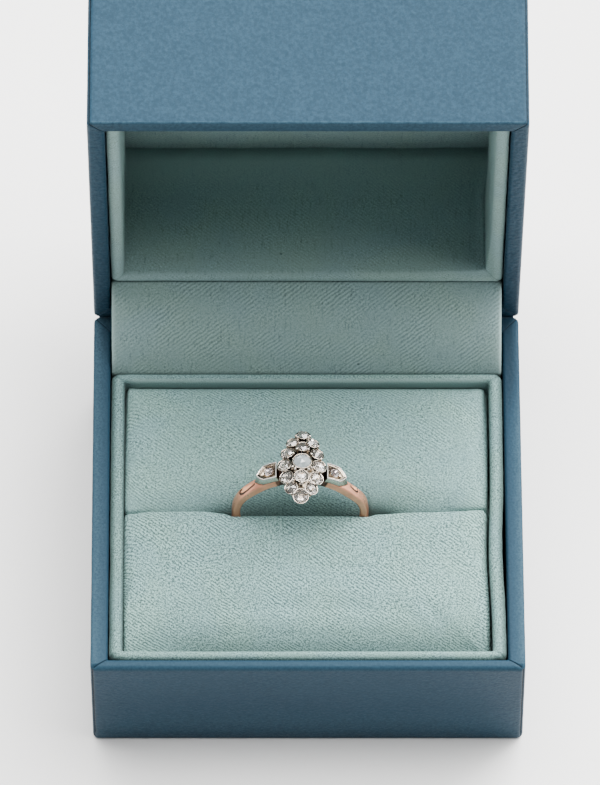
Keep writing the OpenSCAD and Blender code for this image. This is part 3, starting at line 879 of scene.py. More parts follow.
def slot_face(x, z, facing, shank):
    """Y of a pad's face along the slot, at each x and z.

    Both faces lean back with the ring and follow SLOT_WANDER beside it, pushed forward next to
    the ring, where the back pad also stands off. Round the buried half of the ring the face
    eases to its distance from the ring's middle plane. shank is the ring's lean, its outer
    radius and half its width.
    """
    lean, ring_r, ring_half_w = shank
    beside = np.abs(x - RING_CENTRE[0])
    below = np.minimum(z - RING_CENTRE[2], 0)
    ring = ring_y(z, lean)
    inside = ease(ring_r + 0.55, ring_r + 0.1, np.sqrt(beside**2 + below**2))
    if facing > 0:
        opened, parted = ring_half_w + 0.07, ease(16.5, 10.6, beside)
    else:
        leg = 0.14 * np.exp(-(((beside - ring_r + 0.5) / 1.3) ** 2))
        opened, parted = ring_half_w - 0.18 + leg, 0.0
    wander = np.interp(x, SLOT_WANDER[:, 0], SLOT_WANDER[:, 1])
    shut = ring + wander + facing * 0.03 - 0.35 * ease(15, 10.4, beside) + parted
    return (1 - inside) * shut + inside * (ring + facing * opened)


def pad_form(low, high, facing, shank, slant, seed):
    """Cushion between the slot and the tray's wall on one side, facing +1 for the back pad.

    A closed section in Y and Z is carried along X: up the slot's face, over the top and down to
    the tray's wall. share runs across the top from the slot to the wall, and rise from the
    bottom to the top. Quarter circles lower the top towards both ends and towards the wall. The
    slot's face opens round the buried half of the ring, and slant leans the right end inwards.
    """
    (x0, _, bottom), (x1, _, top) = low, high
    outer_y, roll = (high[1], 0.055) if facing > 0 else (low[1], 0.035)
    t = np.linspace(0, 1, 26)
    q = np.linspace(0, np.pi / 2, 8)
    section = np.vstack([
        stacked(0, t * 0.94),
        stacked(0.02 * (1 - np.cos(q)), 0.94 + 0.06 * np.sin(q))[1:],
        stacked(0.02 + (0.98 - roll) * t, 1)[1:],
        stacked(1 - roll * (1 - np.sin(q)), 0.96 + 0.04 * np.cos(q))[1:],
        stacked(1, 0.96 * (1 - t))[1:],
        stacked(1 - t, 0)[1:-1]])
    share, rise = section.T[:, None]

    end_r, plan_r = 1.15, 0.45
    near_end = end_r * (1 - np.cos(np.linspace(0, np.pi / 2, 10)))
    lengths = np.linspace(x0 + end_r, x1 - end_r, 100)[1:-1]
    cap = np.linspace(0.06, 1, 7)[:-1]
    xs = np.concatenate([
        np.full(6, x0), x0 + near_end, lengths, (x1 - near_end)[::-1], np.full(6, x1)])[:, None]
    shrink = np.concatenate([cap, np.ones(len(xs) - 12), cap[::-1]])[:, None]
    from_end = np.minimum(xs - x0, x1 - xs)
    round_x, round_plan = quarter(from_end, end_r), quarter(from_end, plan_r)

    beside = np.abs(xs - RING_CENTRE[0])
    z = bottom + (top - bottom) * rise
    end_drop = np.where(xs > RING_CENTRE[0], 1.0, 0.55)
    if facing > 0:
        sunk = 1.3
        lip = (0.3 + 2.0 * np.exp(-((beside / 19.0) ** 4))) * np.exp(-((share / 0.10) ** 1.3))
        crown = 0.30 * share**6
    else:
        sunk, lip = -0.12, 0.0
        crown = (1.3 + 1.7 * ease(0, 8, from_end)) * np.clip((share - 0.70) / 0.30, 0, 1) ** 1.8
    crown = crown + 0.10 * np.clip(2 * share - 1, 0, 1) ** 2
    at_ring = sunk * ease(shank[1] + 0.5, shank[1] - 1.0, beside) * np.exp(-((share / 0.07) ** 2))
    drop = end_drop * round_x + at_ring + lip + crown + 0.10 * ripple(xs, share * 20, seed, 16.0)
    z = z - ease(0.5, 1, rise) * drop
    face_y = slot_face(xs, z, facing, shank)
    y = face_y + (outer_y - face_y) * share
    middle_y, middle_z = (face_y + outer_y) / 2, (top + bottom) / 2
    y = middle_y + (y - middle_y) * (1 - 2 * round_plan / np.abs(outer_y - face_y)) * shrink
    z = middle_z + (z - middle_z) * shrink
    points = stacked(xs - slant * ease(x1 - 4, x1, xs) * ease(0.89, 1, rise), y, z)
    return closed_form(points[:, ::-1] if facing > 0 else points)


SWELL_FRAMES = 20
SWELL_PRESSURE = 4.0
SWELL_SCALE = 10.0    # the cloth is this many times as large as the pad


def changed(piece, kind, **settings):
    """Mesh of a piece with one modifier applied."""
    modifier = piece.modifiers.new(kind.title(), kind)
    for key, value in settings.items():
        setattr(modifier, key, value)
    mesh = bpy.data.meshes.new_from_object(piece.evaluated_get(bpy.context.evaluated_depsgraph_get()))
    piece.modifiers.remove(modifier)
    return mesh


def take_mesh(piece, mesh):
    """Gives a piece a new mesh, with the name and the material of the one that it had."""
    old = piece.data
    name, material = old.name, old.materials[0]
    piece.data = mesh
    bpy.data.meshes.remove(old)
    mesh.name = name
    mesh.materials.clear()
    mesh.materials.append(material)


def swell(piece, voxel, cap, held):
    """Puffs a pad by a cloth simulation and keeps the result in its mesh.

    A copy SWELL_SCALE times as large is voxel remeshed and given Cloth with pressure and no
    gravity. held gives how firmly each point stays, from 0 free to 1 pinned. After the last
    frame each point's move is capped, and the mesh takes the capped shape at its own size.
    """
    scene = bpy.context.scene
    even = changed(piece, "REMESH", mode="VOXEL", voxel_size=voxel)
    rest = points_of(even)
    even.vertices.foreach_set("co", (rest * SWELL_SCALE).ravel())
    work = bpy.data.objects.new("swelling", even)
    scene.collection.objects.link(work)
    pins = work.vertex_groups.new(name="pins")
    tenths = np.round(held(rest / MM) * 10).astype(int)
    for tenth in range(1, 11):
        pins.add(np.flatnonzero(tenths == tenth).tolist(), tenth / 10, "REPLACE")
    cloth = work.modifiers.new("Cloth", "CLOTH")
    cloth.settings.vertex_group_mass = "pins"
    cloth.settings.use_pressure = True
    cloth.settings.uniform_pressure_force = SWELL_PRESSURE
    cloth.settings.effector_weights.gravity = 0.0
    cloth.settings.quality = 5
    cloth.point_cache.frame_start, cloth.point_cache.frame_end = 1, SWELL_FRAMES
    for step in range(1, SWELL_FRAMES + 1):
        scene.frame_set(step)
    settled = points_of(work.evaluated_get(bpy.context.evaluated_depsgraph_get()).data)
    scene.frame_set(1)
    move = settled / SWELL_SCALE - rest
    far = np.linalg.norm(move, axis=1, keepdims=True)
    move *= np.minimum(1, cap / np.maximum(far, 1e-9))
    work.modifiers.clear()
    even.vertices.foreach_set("co", (rest + move).ravel())
    even.polygons.foreach_set("use_smooth", np.full(len(even.polygons), True))
    even.update()
    bpy.data.objects.remove(work)
    take_mesh(piece, even)
    take_mesh(piece, changed(piece, "SUBSURF", levels=1, render_levels=1))


def paint_pile_shade(piece, facing, slot):
    """Recess attribute of a pad, all of it painted shade: along the back pad's slot, most beside
    the ring, and where the front pad rolls down to the tray's front, least at the left end. Both
    are dark at their ends, and the back pad along its back edge. slot gives Y of the pad's face
    at x and z."""
    x, y, z = points_of(piece.data).T / MM
    # Painted shade along the slot, most beside the ring, and along the back edge.
    if facing > 0:
        beside = np.abs(x - RING_CENTRE[0])
        amount = 0.9 * np.exp(-((np.clip(beside - 11, 0, None) / 7.5) ** 1.2)) * ease(26, 22, beside)
        amount = amount * (0.6 + 0.4 * ease(8, 11, beside)) * (1 + 0.35 * ease(6, 9, x))
        painted_shade = amount * np.exp(-((np.clip(y - slot(x, z), 0, None) / 1.6) ** 1.5))
        rolled = np.clip(y.max() - 0.3 - y, 0, None)
        painted_shade = np.maximum(painted_shade, 0.55 * np.exp(-((rolled / 0.4) ** 1.5)))
    else:
        # Painted shade where the front pad rolls down to the tray's front.
        amount = 0.62 - 0.42 * ease(-14, -27, x) - 0.12 * ease(14, 27, x)
        painted_shade = amount * ease(-18.5, -24.8, y)
    # Painted shade at both ends of each pad.
    ends = 0.55 * np.exp(-(((x - x.min()) / 0.45) ** 1.6)) + 0.5 * np.exp(-(((x.max() - x) / 0.9) ** 1.6))
    set_attribute(piece.data, "recess", np.clip(np.maximum(painted_shade, ends), 0, 0.95))


def lay_cloth_map(piece, across, depth):
    """Cloth map of a padded piece: X, and the axis across its face with the depth below the face
    added outwards from the middle, so that the cloth runs on down the sides without smearing.

    across is the axis number, and depth gives the depth of points in metres.
    """
    mesh = piece.data
    points = points_of(mesh)
    corners = np.empty(len(mesh.loops), np.int32)
    mesh.loops.foreach_get("vertex_index", corners)
    face = points[:, across]
    outwards = np.clip((face - (face.min() + face.max()) / 2) / 0.003, -1, 1)
    set_cloth(mesh, stacked(points[:, 0], face + outwards * depth(points))[corners])


# ---------------------------------------------------------------- ring


METAL_GAP = 0.02     # between the gold and the silver
# The head, drawn with the finger along Y and its axis at height 0; angles are in degrees
HEAD_TWIST = 1.5
OUTER_ROW_H = 11.2
INNER_ROW_H = 12.15
OUTER_LEAN = 20.0
OUTER_LEAN_ALONG = 3.0     # for each millimetre along the finger
MIDDLE_LEAN_ALONG = 2.5
# [along the finger, across it, diameter] of the outer row's stones on one side
OUTER_ROW = np.array([
    [4.32, 1.46, 1.80], [2.28, 2.16, 1.86], [0.05, 2.52, 1.92], [-2.16, 2.14, 1.88], [-4.12, 1.44, 1.74]])
# [along, height above the middle row, diameter] of the middle stones
MIDDLE = np.array([[3.05, -0.25, 1.70], [0.0, 0.15, 2.55], [-2.58, -0.05, 1.92]])
# [along, diameter] of the two end stones
TIPS = np.array([[5.82, 1.92], [-5.52, 2.06]])
# [across, along, height of its top] of the claws on one side
CLAWS = np.array([
    [0.98, 5.35, 11.45], [2.2, 3.4, 11.5], [2.7, 1.2, 11.5], [2.7, -1.18, 11.5],
    [2.2, -3.4, 11.5], [1.0, -5.25, 11.45], [0.72, 4.6, 12.0], [0.8, 2.1, 12.45],
    [1.3, 1.35, 12.3], [1.35, -1.15, 12.3], [0.95, -1.6, 12.45], [1.15, -3.4, 12.0]])
FRONT_CLAW = (0, -3.95, 12.15)    # the thicker claw in front of the middle row
CLAW_FOOT = 10.4
SHIELD_MID = 28.0     # angle of a shoulder setting from the top of the ring
SHIELD_L = 3.2
SHIELD_W = 2.75
SHIELD_FOOT = 0.95    # how much longer its foot is on the gold
# Half outline of a shoulder setting, as [share of its length, share of half its width]
SHIELD_OUTLINE = np.array([[0, 1], [0.35, 1], [0.62, 0.93], [0.84, 0.5], [1, 0]])
BEADS = 52    # along the rim of a shoulder setting
# Outline of its stone's seat
SEAT_SCALE = 0.74
SEAT_SHIFT = -0.16


def ring_turn(settings):
    """Matrix that turns what is drawn in the ring's own frame to its place in the slot."""
    return about("X", -math.degrees(settings.lean)) @ about("Y", math.degrees(settings.turn))


def stone_places():
    """Each round stone of the head in the head's frame: node, diameter, matrix, centre and the
    height of its collet."""
    places = []
    for name, (along, lift, d) in zip(("middle_back", "centre", "middle_front"), MIDDLE):
        centre = [0, along, INNER_ROW_H + lift]
        places.append(("stone_" + name, d, about("X", -along * MIDDLE_LEAN_ALONG), centre, 1.5))
    for name, (along, d) in zip(("tip_back", "tip_front"), TIPS):
        turn = about("X", -math.copysign(OUTER_LEAN, along))
        places.append(("stone_" + name, d, turn, [0, along, OUTER_ROW_H - 0.1], 0.9))
    for side, name in ((-1, "left"), (1, "right")):
        for number, (along, across, d) in enumerate(OUTER_ROW, 1):
            turn = about("Y", side * OUTER_LEAN) @ about("X", -along * OUTER_LEAN_ALONG)
            places.append((f"stone_{name}_{number}", d, turn, [side * across, along, OUTER_ROW_H], 0.9))
    return places


def cut_form(outline, depth, crown, height, uneven, seed):
    """Rose-cut stone over a closed outline that runs anticlockwise.

    A flat back at -depth and an upright girdle carry the crown. Its middle ring lies over the
    midpoints of the outline's sides, drawn in by the share crown, and its point over the
    outline's centre. Triangles join the girdle, the ring and the point. Both are moved a little
    by seeded noise, as in an old hand-cut stone. Each facet has a random value from 0 to 1.
    """
    n = len(outline)
    centre = outline.mean(0)
    shifts = np.random.default_rng(seed).normal(0, uneven, (n + 1, 3))
    middle = centre + ((outline + np.roll(outline, -1, 0)) / 2 - centre) * crown
    points = np.vstack([
        [*centre, -depth],
        np.column_stack([centre + (outline - centre) * 0.97, np.full(n, -depth)]),
        np.column_stack([outline, np.zeros(n)]),
        np.column_stack([middle, np.full(n, height * 0.68)]) + shifts[:n],
        np.array([*centre, height]) + shifts[n]])
    i = np.arange(n)
    j = (i + 1) % n
    back, girdle, ring, point = 1, 1 + n, 1 + 2 * n, 1 + 3 * n
    triangles = np.vstack([
        stacked(0, back + j, back + i), stacked(back + i, back + j, girdle + j),
        stacked(back + i, girdle + j, girdle + i), stacked(girdle + i, girdle + j, ring + i),
        stacked(ring + i, girdle + j, ring + j), stacked(ring + i, ring + j, point)])
    return {
        "points": points, "quads": np.zeros((0, 4), int), "quad_flat": np.zeros((0, 4, 2)),
        "triangles": triangles, "triangle_flat": np.zeros((len(triangles), 3, 2)),
        "recess": np.zeros(len(points)),
        "facet": np.random.default_rng(seed + 200).uniform(0, 1, len(triangles))}


def turned_form(profile, columns, recess):
    """Profile [radius, height] carried round Z, closed by poles at both ends."""
    turn = np.linspace(0, 2 * np.pi, columns, endpoint=False)
    r, z = profile.T[:, :, None]
    return closed_form(stacked(r * np.cos(turn), r * np.sin(turn), z), recess=recess[:, None])


def collet_form(d, height, thick):
    """Silver cup round a stone: foot, flared wall, rounded rim just above the girdle, seat."""
    r = d / 2
    profile = np.array([
        [r * 0.15, -height], [r * 0.6, -height], [r * 0.78, -height * 0.6], [r * 0.96, -0.34],
        [r + thick * 0.8, -0.14], [r + thick, -0.02], [r + thick * 0.95, 0.03], [r + thick * 0.6, 0.06],
        [r + thick * 0.2, 0.04], [r + 0.008, 0.0], [r * 0.985, -0.24], [r * 0.3, -0.25]])
    # Recess of each profile point: tarnish, deepened by painted shade on the foot and the lower wall, least on
    # the rim.
    dark = np.array([1.0, 1.0, 1.0, 0.9, 0.8, 0.5, 0.05, 0.0, 0.1, 0.45, 0.5, 0.5])
    return turned_form(profile, 32, dark)


def claw_form(height, radius):
    """Claw with a rounded, slightly swollen tip."""
    t = np.linspace(0, np.pi / 2, 7)
    tip = stacked(radius * 1.15 * np.cos(t), height + radius * 1.2 * np.sin(t))
    stem = [
        [radius * 0.3, 0], [radius * 0.9, 0.02], [radius * 0.8, height * 0.6], [radius * 0.95, height * 0.9]]
    profile = np.vstack([stem, tip[:-1], [[radius * 0.12, height + radius * 1.2]]])
    return turned_form(profile, 14, np.clip(0.8 - profile[:, 1] / height, 0, 1))


def lofted_navettes(levels, bore=0.0):
    """Pointed ovals [height, half length, half width, recess] joined from the lowest up.

    At the angle t a point lies half width * sin(t)^1.25 across and half length * cos(t) along.
    No point lies inside the cylinder of radius bore about the finger's axis.
    """
    z, half_l, half_w, shade = np.array(levels).T[:, :, None]
    t = np.linspace(0, 2 * np.pi, 96, endpoint=False)
    points = stacked(half_w * bent(np.sin(t), 1.25), half_l * np.cos(t), z)[:, ::-1]
    floor_z = np.sqrt(np.maximum(bore**2 - points[..., 0] ** 2, 0))
    points[..., 2] = np.maximum(points[..., 2], floor_z)
    return closed_form(points, recess=shade)


def head_form(settings, foot_r):
    """The whole head: gallery plate, mound, a collet for each stone and the claws, all a little
    uneven as handwork."""
    thick, claw = settings.collet / MM, settings.claw / MM
    # The levels' recess is tarnish, deepened by painted shade low under the head and on the mound between the
    # stones.
    forms = [
        lofted_navettes([
            [9.55, 2.4, 1.1, 1.0], [9.6, 3.4, 1.6, 0.9], [10.2, 4.9, 2.25, 0.75], [10.5, 5.9, 2.7, 0.5],
            [10.66, 6.1, 2.82, 0.3], [10.72, 5.8, 2.6, 0.9]], foot_r),
        lofted_navettes([
            [10.6, 5.6, 2.4, 1.0], [10.95, 5.3, 2.2, 0.9], [11.35, 4.6, 1.7, 0.8], [11.7, 3.4, 0.9, 0.8]]),
    ]
    for _, d, turn, centre, height in stone_places():
        forms.append(moved(collet_form(d, height, thick), turn, centre))
    claws = [(side * x, y, top, claw) for side in (-1, 1) for x, y, top in CLAWS]
    for x, y, top, radius in claws + [(*FRONT_CLAW, claw * 1.35)]:
        forms.append(moved(claw_form(top - CLAW_FOOT, radius), offset=[x, y, CLAW_FOOT]))
    head = join(forms)
    x, y, z = head["points"].T
    uneven = stacked(ripple(x, y + z, 51, 0.9), ripple(y, x + z, 52, 0.9), ripple(z, x + y, 53, 0.9))
    head["points"] = head["points"] + 0.045 * uneven
    head["recess"] = np.clip(head["recess"] + 0.20 + 0.14 * ripple(x + z, y, 54, 1.1), 0, 1)
    return moved(head, about("Z", -HEAD_TWIST))


def shield_loop(scale, shift, longer=0.0, columns=180):
    """Outline of a shoulder setting: straight at its inner end, parallel, then pointed.

    The half outline is mirrored, walked at even steps, and its corners softened by an average
    of neighbouring points.
    """
    x = (SHIELD_OUTLINE[:, 0] - 0.5) * SHIELD_L * scale + shift + SHIELD_OUTLINE[:, 0] * longer
    y = SHIELD_OUTLINE[:, 1] * SHIELD_W / 2 * scale
    path = np.column_stack([np.append(x, x[-2::-1]), np.append(-y, y[-2::-1])])
    path = np.vstack([path, path[:1]])
    reach = np.concatenate([[0], np.cumsum(np.linalg.norm(np.diff(path, axis=0), axis=1))])
    walk = np.linspace(0, reach[-1], columns, endpoint=False)
    loop = np.column_stack([np.interp(walk, reach, path[:, k]) for k in (0, 1)])
    for _ in range(3):
        loop = (np.roll(loop, 1, 0) + 2 * loop + np.roll(loop, -1, 0)) / 4
    return loop


def shoulder_form(side, shank_r, silver_r):
    """Silver setting on one shoulder, from its foot on the gold to the floor of its seat.

    Each row is a shield outline pressed onto a cylinder about the finger's axis, so its height
    at x is the root of radius squared less x squared. The rim's beads are a cosine along the edge.
    """
    foot, edge = shield_loop(1, 0, SHIELD_FOOT), shield_loop(1, 0)
    seat = shield_loop(SEAT_SCALE, SEAT_SHIFT)
    bead = 0.5 + 0.5 * np.cos(np.arange(len(edge)) / len(edge) * 2 * np.pi * BEADS)
    # [share from foot to edge, share from edge to seat, radius, bead, recess; below 0 it is a
    # painted highlight on the beaded rim]
    table = np.array([
        [-1, 0, shank_r + METAL_GAP, 0, 1.0], [0, 0, shank_r + METAL_GAP, 0, 0.5],
        [0.12, 0, shank_r + 0.12, 0, 0.42], [0.5, 0, shank_r + 0.45, 0, 0.28],
        [0.94, 0, silver_r - 0.24, 0, 0.15], [1, 0, silver_r - 0.17, 0, 0.5],
        [1, -0.06, silver_r - 0.12, 0.6, 0.1], [1, -0.04, silver_r - 0.03, 1, -0.7],
        [1, 0.08, silver_r + 0.02, 1, -0.9], [1, 0.20, silver_r, 0.8, -0.3],
        [1, 0.30, silver_r - 0.08, 0.2, 0.6], [1, 0.60, silver_r - 0.10, 0, 0.5],
        [1, 0.86, silver_r - 0.06, 0, 0.35], [1, 0.98, silver_r - 0.10, 0, 0.6],
        [1, 1, silver_r - 0.44, 0, 0.5]])
    rows = []
    for up, inward, radius, beaded, _ in table:
        loop = foot * 0.4 if up < 0 else foot + (edge - foot) * up + (seat - edge) * inward
        reach = radius + 0.035 * beaded * bead
        rows.append(np.column_stack([loop, np.sqrt(reach**2 - loop[:, 0] ** 2)]))
    points = np.array(rows)
    # Painted shade on the inner end wall, which faces the head.
    end_wall = (points[..., 0] < -SHIELD_L / 2 + 0.12) & (table[:, 1:2] == 0)
    shade = np.where(end_wall, 1.0, table[:, 4:])
    if side < 0:
        points, shade = points[:, ::-1] * np.array([-1, 1, 1]), shade[:, ::-1]
    return moved(closed_form(points, recess=shade), about("Y", side * SHIELD_MID))


# Carved leaves: [side, middle angle, half length in degrees, place beyond the front edge over
# the outer face, half width]
LEAVES = np.array([[-1, 51.3, 8.8, 0.98, 0.66], [1, 50.4, 4.6, 1.30, 0.52]])
LEAF_IN, LINE_IN = 0.07, 0.05    # depth of a leaf and of its cut line


def shank_section(half_w, bore, out, outer_r, inner_r=0.2):
    """Rounded rectangle [place along the finger, radius], from the +Y side over the outer face.

    Each straight run is evenly spaced, and each corner is a quarter circle.
    """
    cos, sin = np.cos(np.linspace(0, np.pi / 2, 8)), np.sin(np.linspace(0, np.pi / 2, 8))
    side, face = np.linspace(0, 1, 17)[1:-1], np.linspace(1, -1, 47)[1:-1]
    low, high = bore + inner_r, out - outer_r
    flat_out, flat_in = half_w - outer_r, half_w - inner_r
    runs = [
        (half_w, low + (high - low) * side), (flat_out + outer_r * cos, high + outer_r * sin),
        (flat_out * face, out), (-flat_out - outer_r * sin, high + outer_r * cos),
        (-half_w, high + (low - high) * side), (-flat_in - inner_r * cos, low - inner_r * sin),
        (flat_in * -face[::4], bore), (flat_in + inner_r * sin, low - inner_r * cos)]
    return np.moveaxis(np.concatenate([stacked(*run) for run in runs], 1), -1, 0)


def shank_form(settings):
    """Gold shank: a rounded rectangle carried round the finger's axis.

    Its width eases from the shoulders to the back, its outer face turns into a low crown, and
    beside the shoulders its back edge is cut away. Worn out of round, it bulges a little on both
    sides. Each carved leaf is a teardrop sunk into the outer face, with a cut line on its front.
    """
    bore, out = settings.bore / MM / 2, (settings.bore / 2 + settings.shank) / MM
    half = np.concatenate([
        np.linspace(0, 38, 40, endpoint=False), np.linspace(38, 64, 130, endpoint=False),
        np.linspace(64, 180, 80)])
    turn = np.concatenate([half, -half[-2:0:-1]])[:, None]
    from_top = np.abs(turn)
    half_w = (settings.top_width + (settings.back_width - settings.top_width) * ease(38, 85, from_top)) / MM / 2
    s, r = shank_section(half_w, bore, out, 0.20 + 0.15 * ease(60, 110, from_top))
    across = half_w + s - (out - r) * ease(0, -0.2, s)
    outer = ease(bore + 0.15, bore + 0.3, r)
    r = r - ease(bore + 0.5, out, r) * (0.02 + 0.28 * ease(44, 75, from_top)) * (s / half_w) ** 2
    cut_back = np.clip(s - 0.45, 0, None) * ease(37, 44, from_top) * ease(80, 62, from_top)
    r = r - 0.9 * cut_back * ease(bore + 0.3, out - 0.2, r)
    bulge = (0.295 + 0.075 * np.sign(turn)) * np.exp(-(((from_top - 66) / 13) ** 2))
    r = r + bulge - (0.06 + 0.12 * (turn < 0)) * ease(74, 90, from_top) * ease(125, 95, from_top)
    sunk, line = np.zeros(s.shape), np.zeros(s.shape)
    for side, middle, half_l, place_in, leaf_w in LEAVES:
        u = (turn * side - middle) / half_l
        shape = leaf_w * np.sqrt(np.clip(1 - u**2, 0, 1)) * (0.62 + 0.38 * u)
        edge = (np.abs(across - place_in) - shape) / 0.20
        near = (np.abs(u) < 1.06) * outer
        on_front = ease(0.25, -0.05, (across - place_in) / leaf_w - 1.2 * ease(0.5, 1, u))
        sunk += ease(0.4, -0.4, edge) * near
        line += np.exp(-((edge / 0.85) ** 2)) * near * on_front
    line = np.clip(line, 0, 1)
    r = r - LEAF_IN * sunk - LINE_IN * line
    s = s + LEAF_IN * sunk + LINE_IN * line
    a = np.radians(turn)
    # Painted shade on the gold under the head, and a painted highlight in the sunk leaves; the cut lines are
    # dark.
    under_head = ease(23.5, 21.5, from_top)
    recess = np.where(under_head > 0, 1.5 * under_head, 1.6 * line - sunk * (1 - line))
    return grid_form(stacked(r * np.sin(a), s, r * np.cos(a)), wrap=(True, True), recess=recess)


# ---------------------------------------------------------------- operators


class PieceOperator(bpy.types.Operator):
    """Common base of the operators that add pieces."""

    bl_options = {"REGISTER", "UNDO"}

    def finish(self, piece, body, slot, node):
        """Gives a piece its body and hides the node that it stands for. The slot is not used."""
        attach(piece, body)
        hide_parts(node)

    def put(self, name, form, material, body, slot, node, smooth=True):
        """Adds a finished piece."""
        self.finish(add_piece(name, form, MATERIALS[material], smooth), body, slot, node)


class RINGBOX_OT_materials(PieceOperator):
    """Builds the shared groups and the materials."""

    bl_idname = "ringbox.materials"
    bl_label = "Materials"

    def execute(self, context):
        scene = context.scene
        covering, lining, ring = scene.ring_box_covering, scene.ring_box_lining, scene.ring_box_ring
        nap_group()
        grain_group()
        polish_group()
        for key, (name, grain, contrast, relief) in LEATHERETTES.items():
            MATERIALS[key] = leatherette_material(
                name, tuple(covering.colour), covering.grain * grain, contrast, relief)
        for key, (name, base, tone, pitch, degrees, twill, depth) in VELVETS.items():
            MATERIALS[key] = velvet_material(
                name, tinted(getattr(lining, base), tone), lining.twill * pitch, degrees, twill, depth)
        for key, (name, base, *look) in METALS.items():
            MATERIALS[key] = metal_material(name, tuple(getattr(ring, base)), *look)
        for key, look in DIAMONDS.items():
            MATERIALS[key] = diamond_material(*look)
        return {"FINISHED"}


class RINGBOX_OT_covering(PieceOperator):
    """Adds the leatherette shells of the base and the lid."""

    bl_idname = "ringbox.covering"
    bl_label = "Covering"

    def execute(self, context):
        s = context.scene.ring_box_covering
        wall, corner, edge = s.wall / MM, s.corner / MM, s.edge / MM
        # The rims are paler, partly wear and partly painted light; the base's front is painted paler towards
        # its foot, and the inner half of its rim darker with painted shade.
        base = shell_form(BASE_H, FLOOR_T, wall, s.front_wall / MM, corner, edge, front_round=1.75,
                          worn=(1.0, 0.9, 0.36, 0.4), inner_shade=(0.12, 0.40), seed=3)
        base = tapered(join([base, fold_form()]))
        self.put("base_cover", base, "base", "base", "leatherette", "base_shell")
        lid = shell_form(LID_H - s.rim_gap / MM, s.lid_top / MM, wall, wall, corner, edge, front_round=1.0,
                         worn=(0.45, 0.32, 0.65, 0.0), inner_shade=(0.0, 0.0), seed=5)
        lid = tapered(on_lid(lid, LID_H))
        self.put("lid_cover", lid, "lid_cover", "lid", "leatherette", "lid_shell")
        return {"FINISHED"}


class RINGBOX_OT_trays(PieceOperator):
    """Adds the velvet trays of the base and the lid."""

    bl_idname = "ringbox.trays"
    bl_label = "Trays"

    def execute(self, context):
        s = context.scene.ring_box_lining
        side, end, corner = s.side / MM, s.end / MM, s.corner / MM
        (x0, y0, _), (x1, y1, _) = TRAY_LOW, TRAY_HIGH
        # Painted shade along the side walls' edges; painted light on the base tray's back wall and deep in the
        # lid's tray.
        base = tray_form(x0, x1, y0, y1, FLOOR_T, BASE_H, side, front=end, back=end, corner=corner + 0.3,
                         seed=11, crest=(1, 1), painted_shade=(0.72, 0.72), worn=(0.85, 0.0), fillet=0)
        self.put("base_lining", tapered(bowed(base)), "tray", "base", "velvet", "base_tray")
        wall = context.scene.ring_box_covering.wall / MM
        lid = tray_form(x0, x1, -HALF_D + wall + 0.15, y1, -s.hollow / MM - 0.35, -s.recess / MM, side,
                        front=end, back=side, corner=corner, seed=17, crest=(0.8, 0.6),
                        painted_shade=(0.22, 0.25), worn=(0.0, 0.6), fillet=0.9)
        self.put("lid_lining", tapered(on_lid(lid)), "lid", "lid", "velvet", "lid_tray")
        return {"FINISHED"}


class RINGBOX_OT_flap(PieceOperator):
    """Adds the velvet flap that crosses the hinge."""

    bl_idname = "ringbox.flap"
    bl_label = "Hinge flap"

    def execute(self, context):
        line = flap_line(context.scene.ring_box_lining)
        half = TRAY_HIGH[0] - 0.05
        across = np.linspace(-1, 1, 121)
        t = np.linspace(0, 1, len(line))[:, None]
        curl = 0.5 * np.abs(across) ** 40
        wave = 0.10 * ripple(half * across, t * 14, 23, 12.0) * np.sin(np.pi * t)
        inwards = np.array([0.62, -0.78])
        y = line[:, :1] + inwards[0] * (0.6 * curl - wave)
        z = line[:, 1:] + inwards[1] * (curl - wave)
        down = path_length(line)
        # Painted shade where the flap tucks in at both ends, and a painted highlight, paler, along its fuzzy
        # side edges.
        tucked = np.clip(1 - ease(0.10, 0.14, t) + ease(0.87, 0.90, t), 0, 1)
        edge_highlight = ease(1 - 0.6 / half, 1 - 0.1 / half, np.abs(across))
        form = grid_form(stacked(half * across, y, z), flat=np.stack(np.meshgrid(half * across, down), -1),
                         recess=0.5 * tucked - 0.75 * edge_highlight * (1 - tucked))
        piece = add_piece("hinge_cloth", tapered(form), MATERIALS["flap"])
        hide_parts("hinge_flap")
        solid = piece.modifiers.new("Thickness", "SOLIDIFY")
        solid.thickness, solid.offset = 0.0005, -1.0
        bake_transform(piece)
        return {"FINISHED"}


# [name, facing, seed] of each pad's piece, and how far its corners lie beyond its node's
PADS = {"back_pad": ("back_cushion", 1, 31), "front_pad": ("front_cushion", -1, 37)}
PAD_GROWTH = np.array([[-0.16, -0.14, 0.1], [0.62, 0.34, -0.12]])
# [inset from the panel's edge, share of its depth] of each row of the lid's panel
PANEL_ROWS = [
    (12, 0), (3, 0), (0.4, 0), (0.1, 0.15), (0.0, 0.4), (0.1, 0.7), (0.5, 0.86), (1.4, 0.96), (4, 1), (12, 1)]


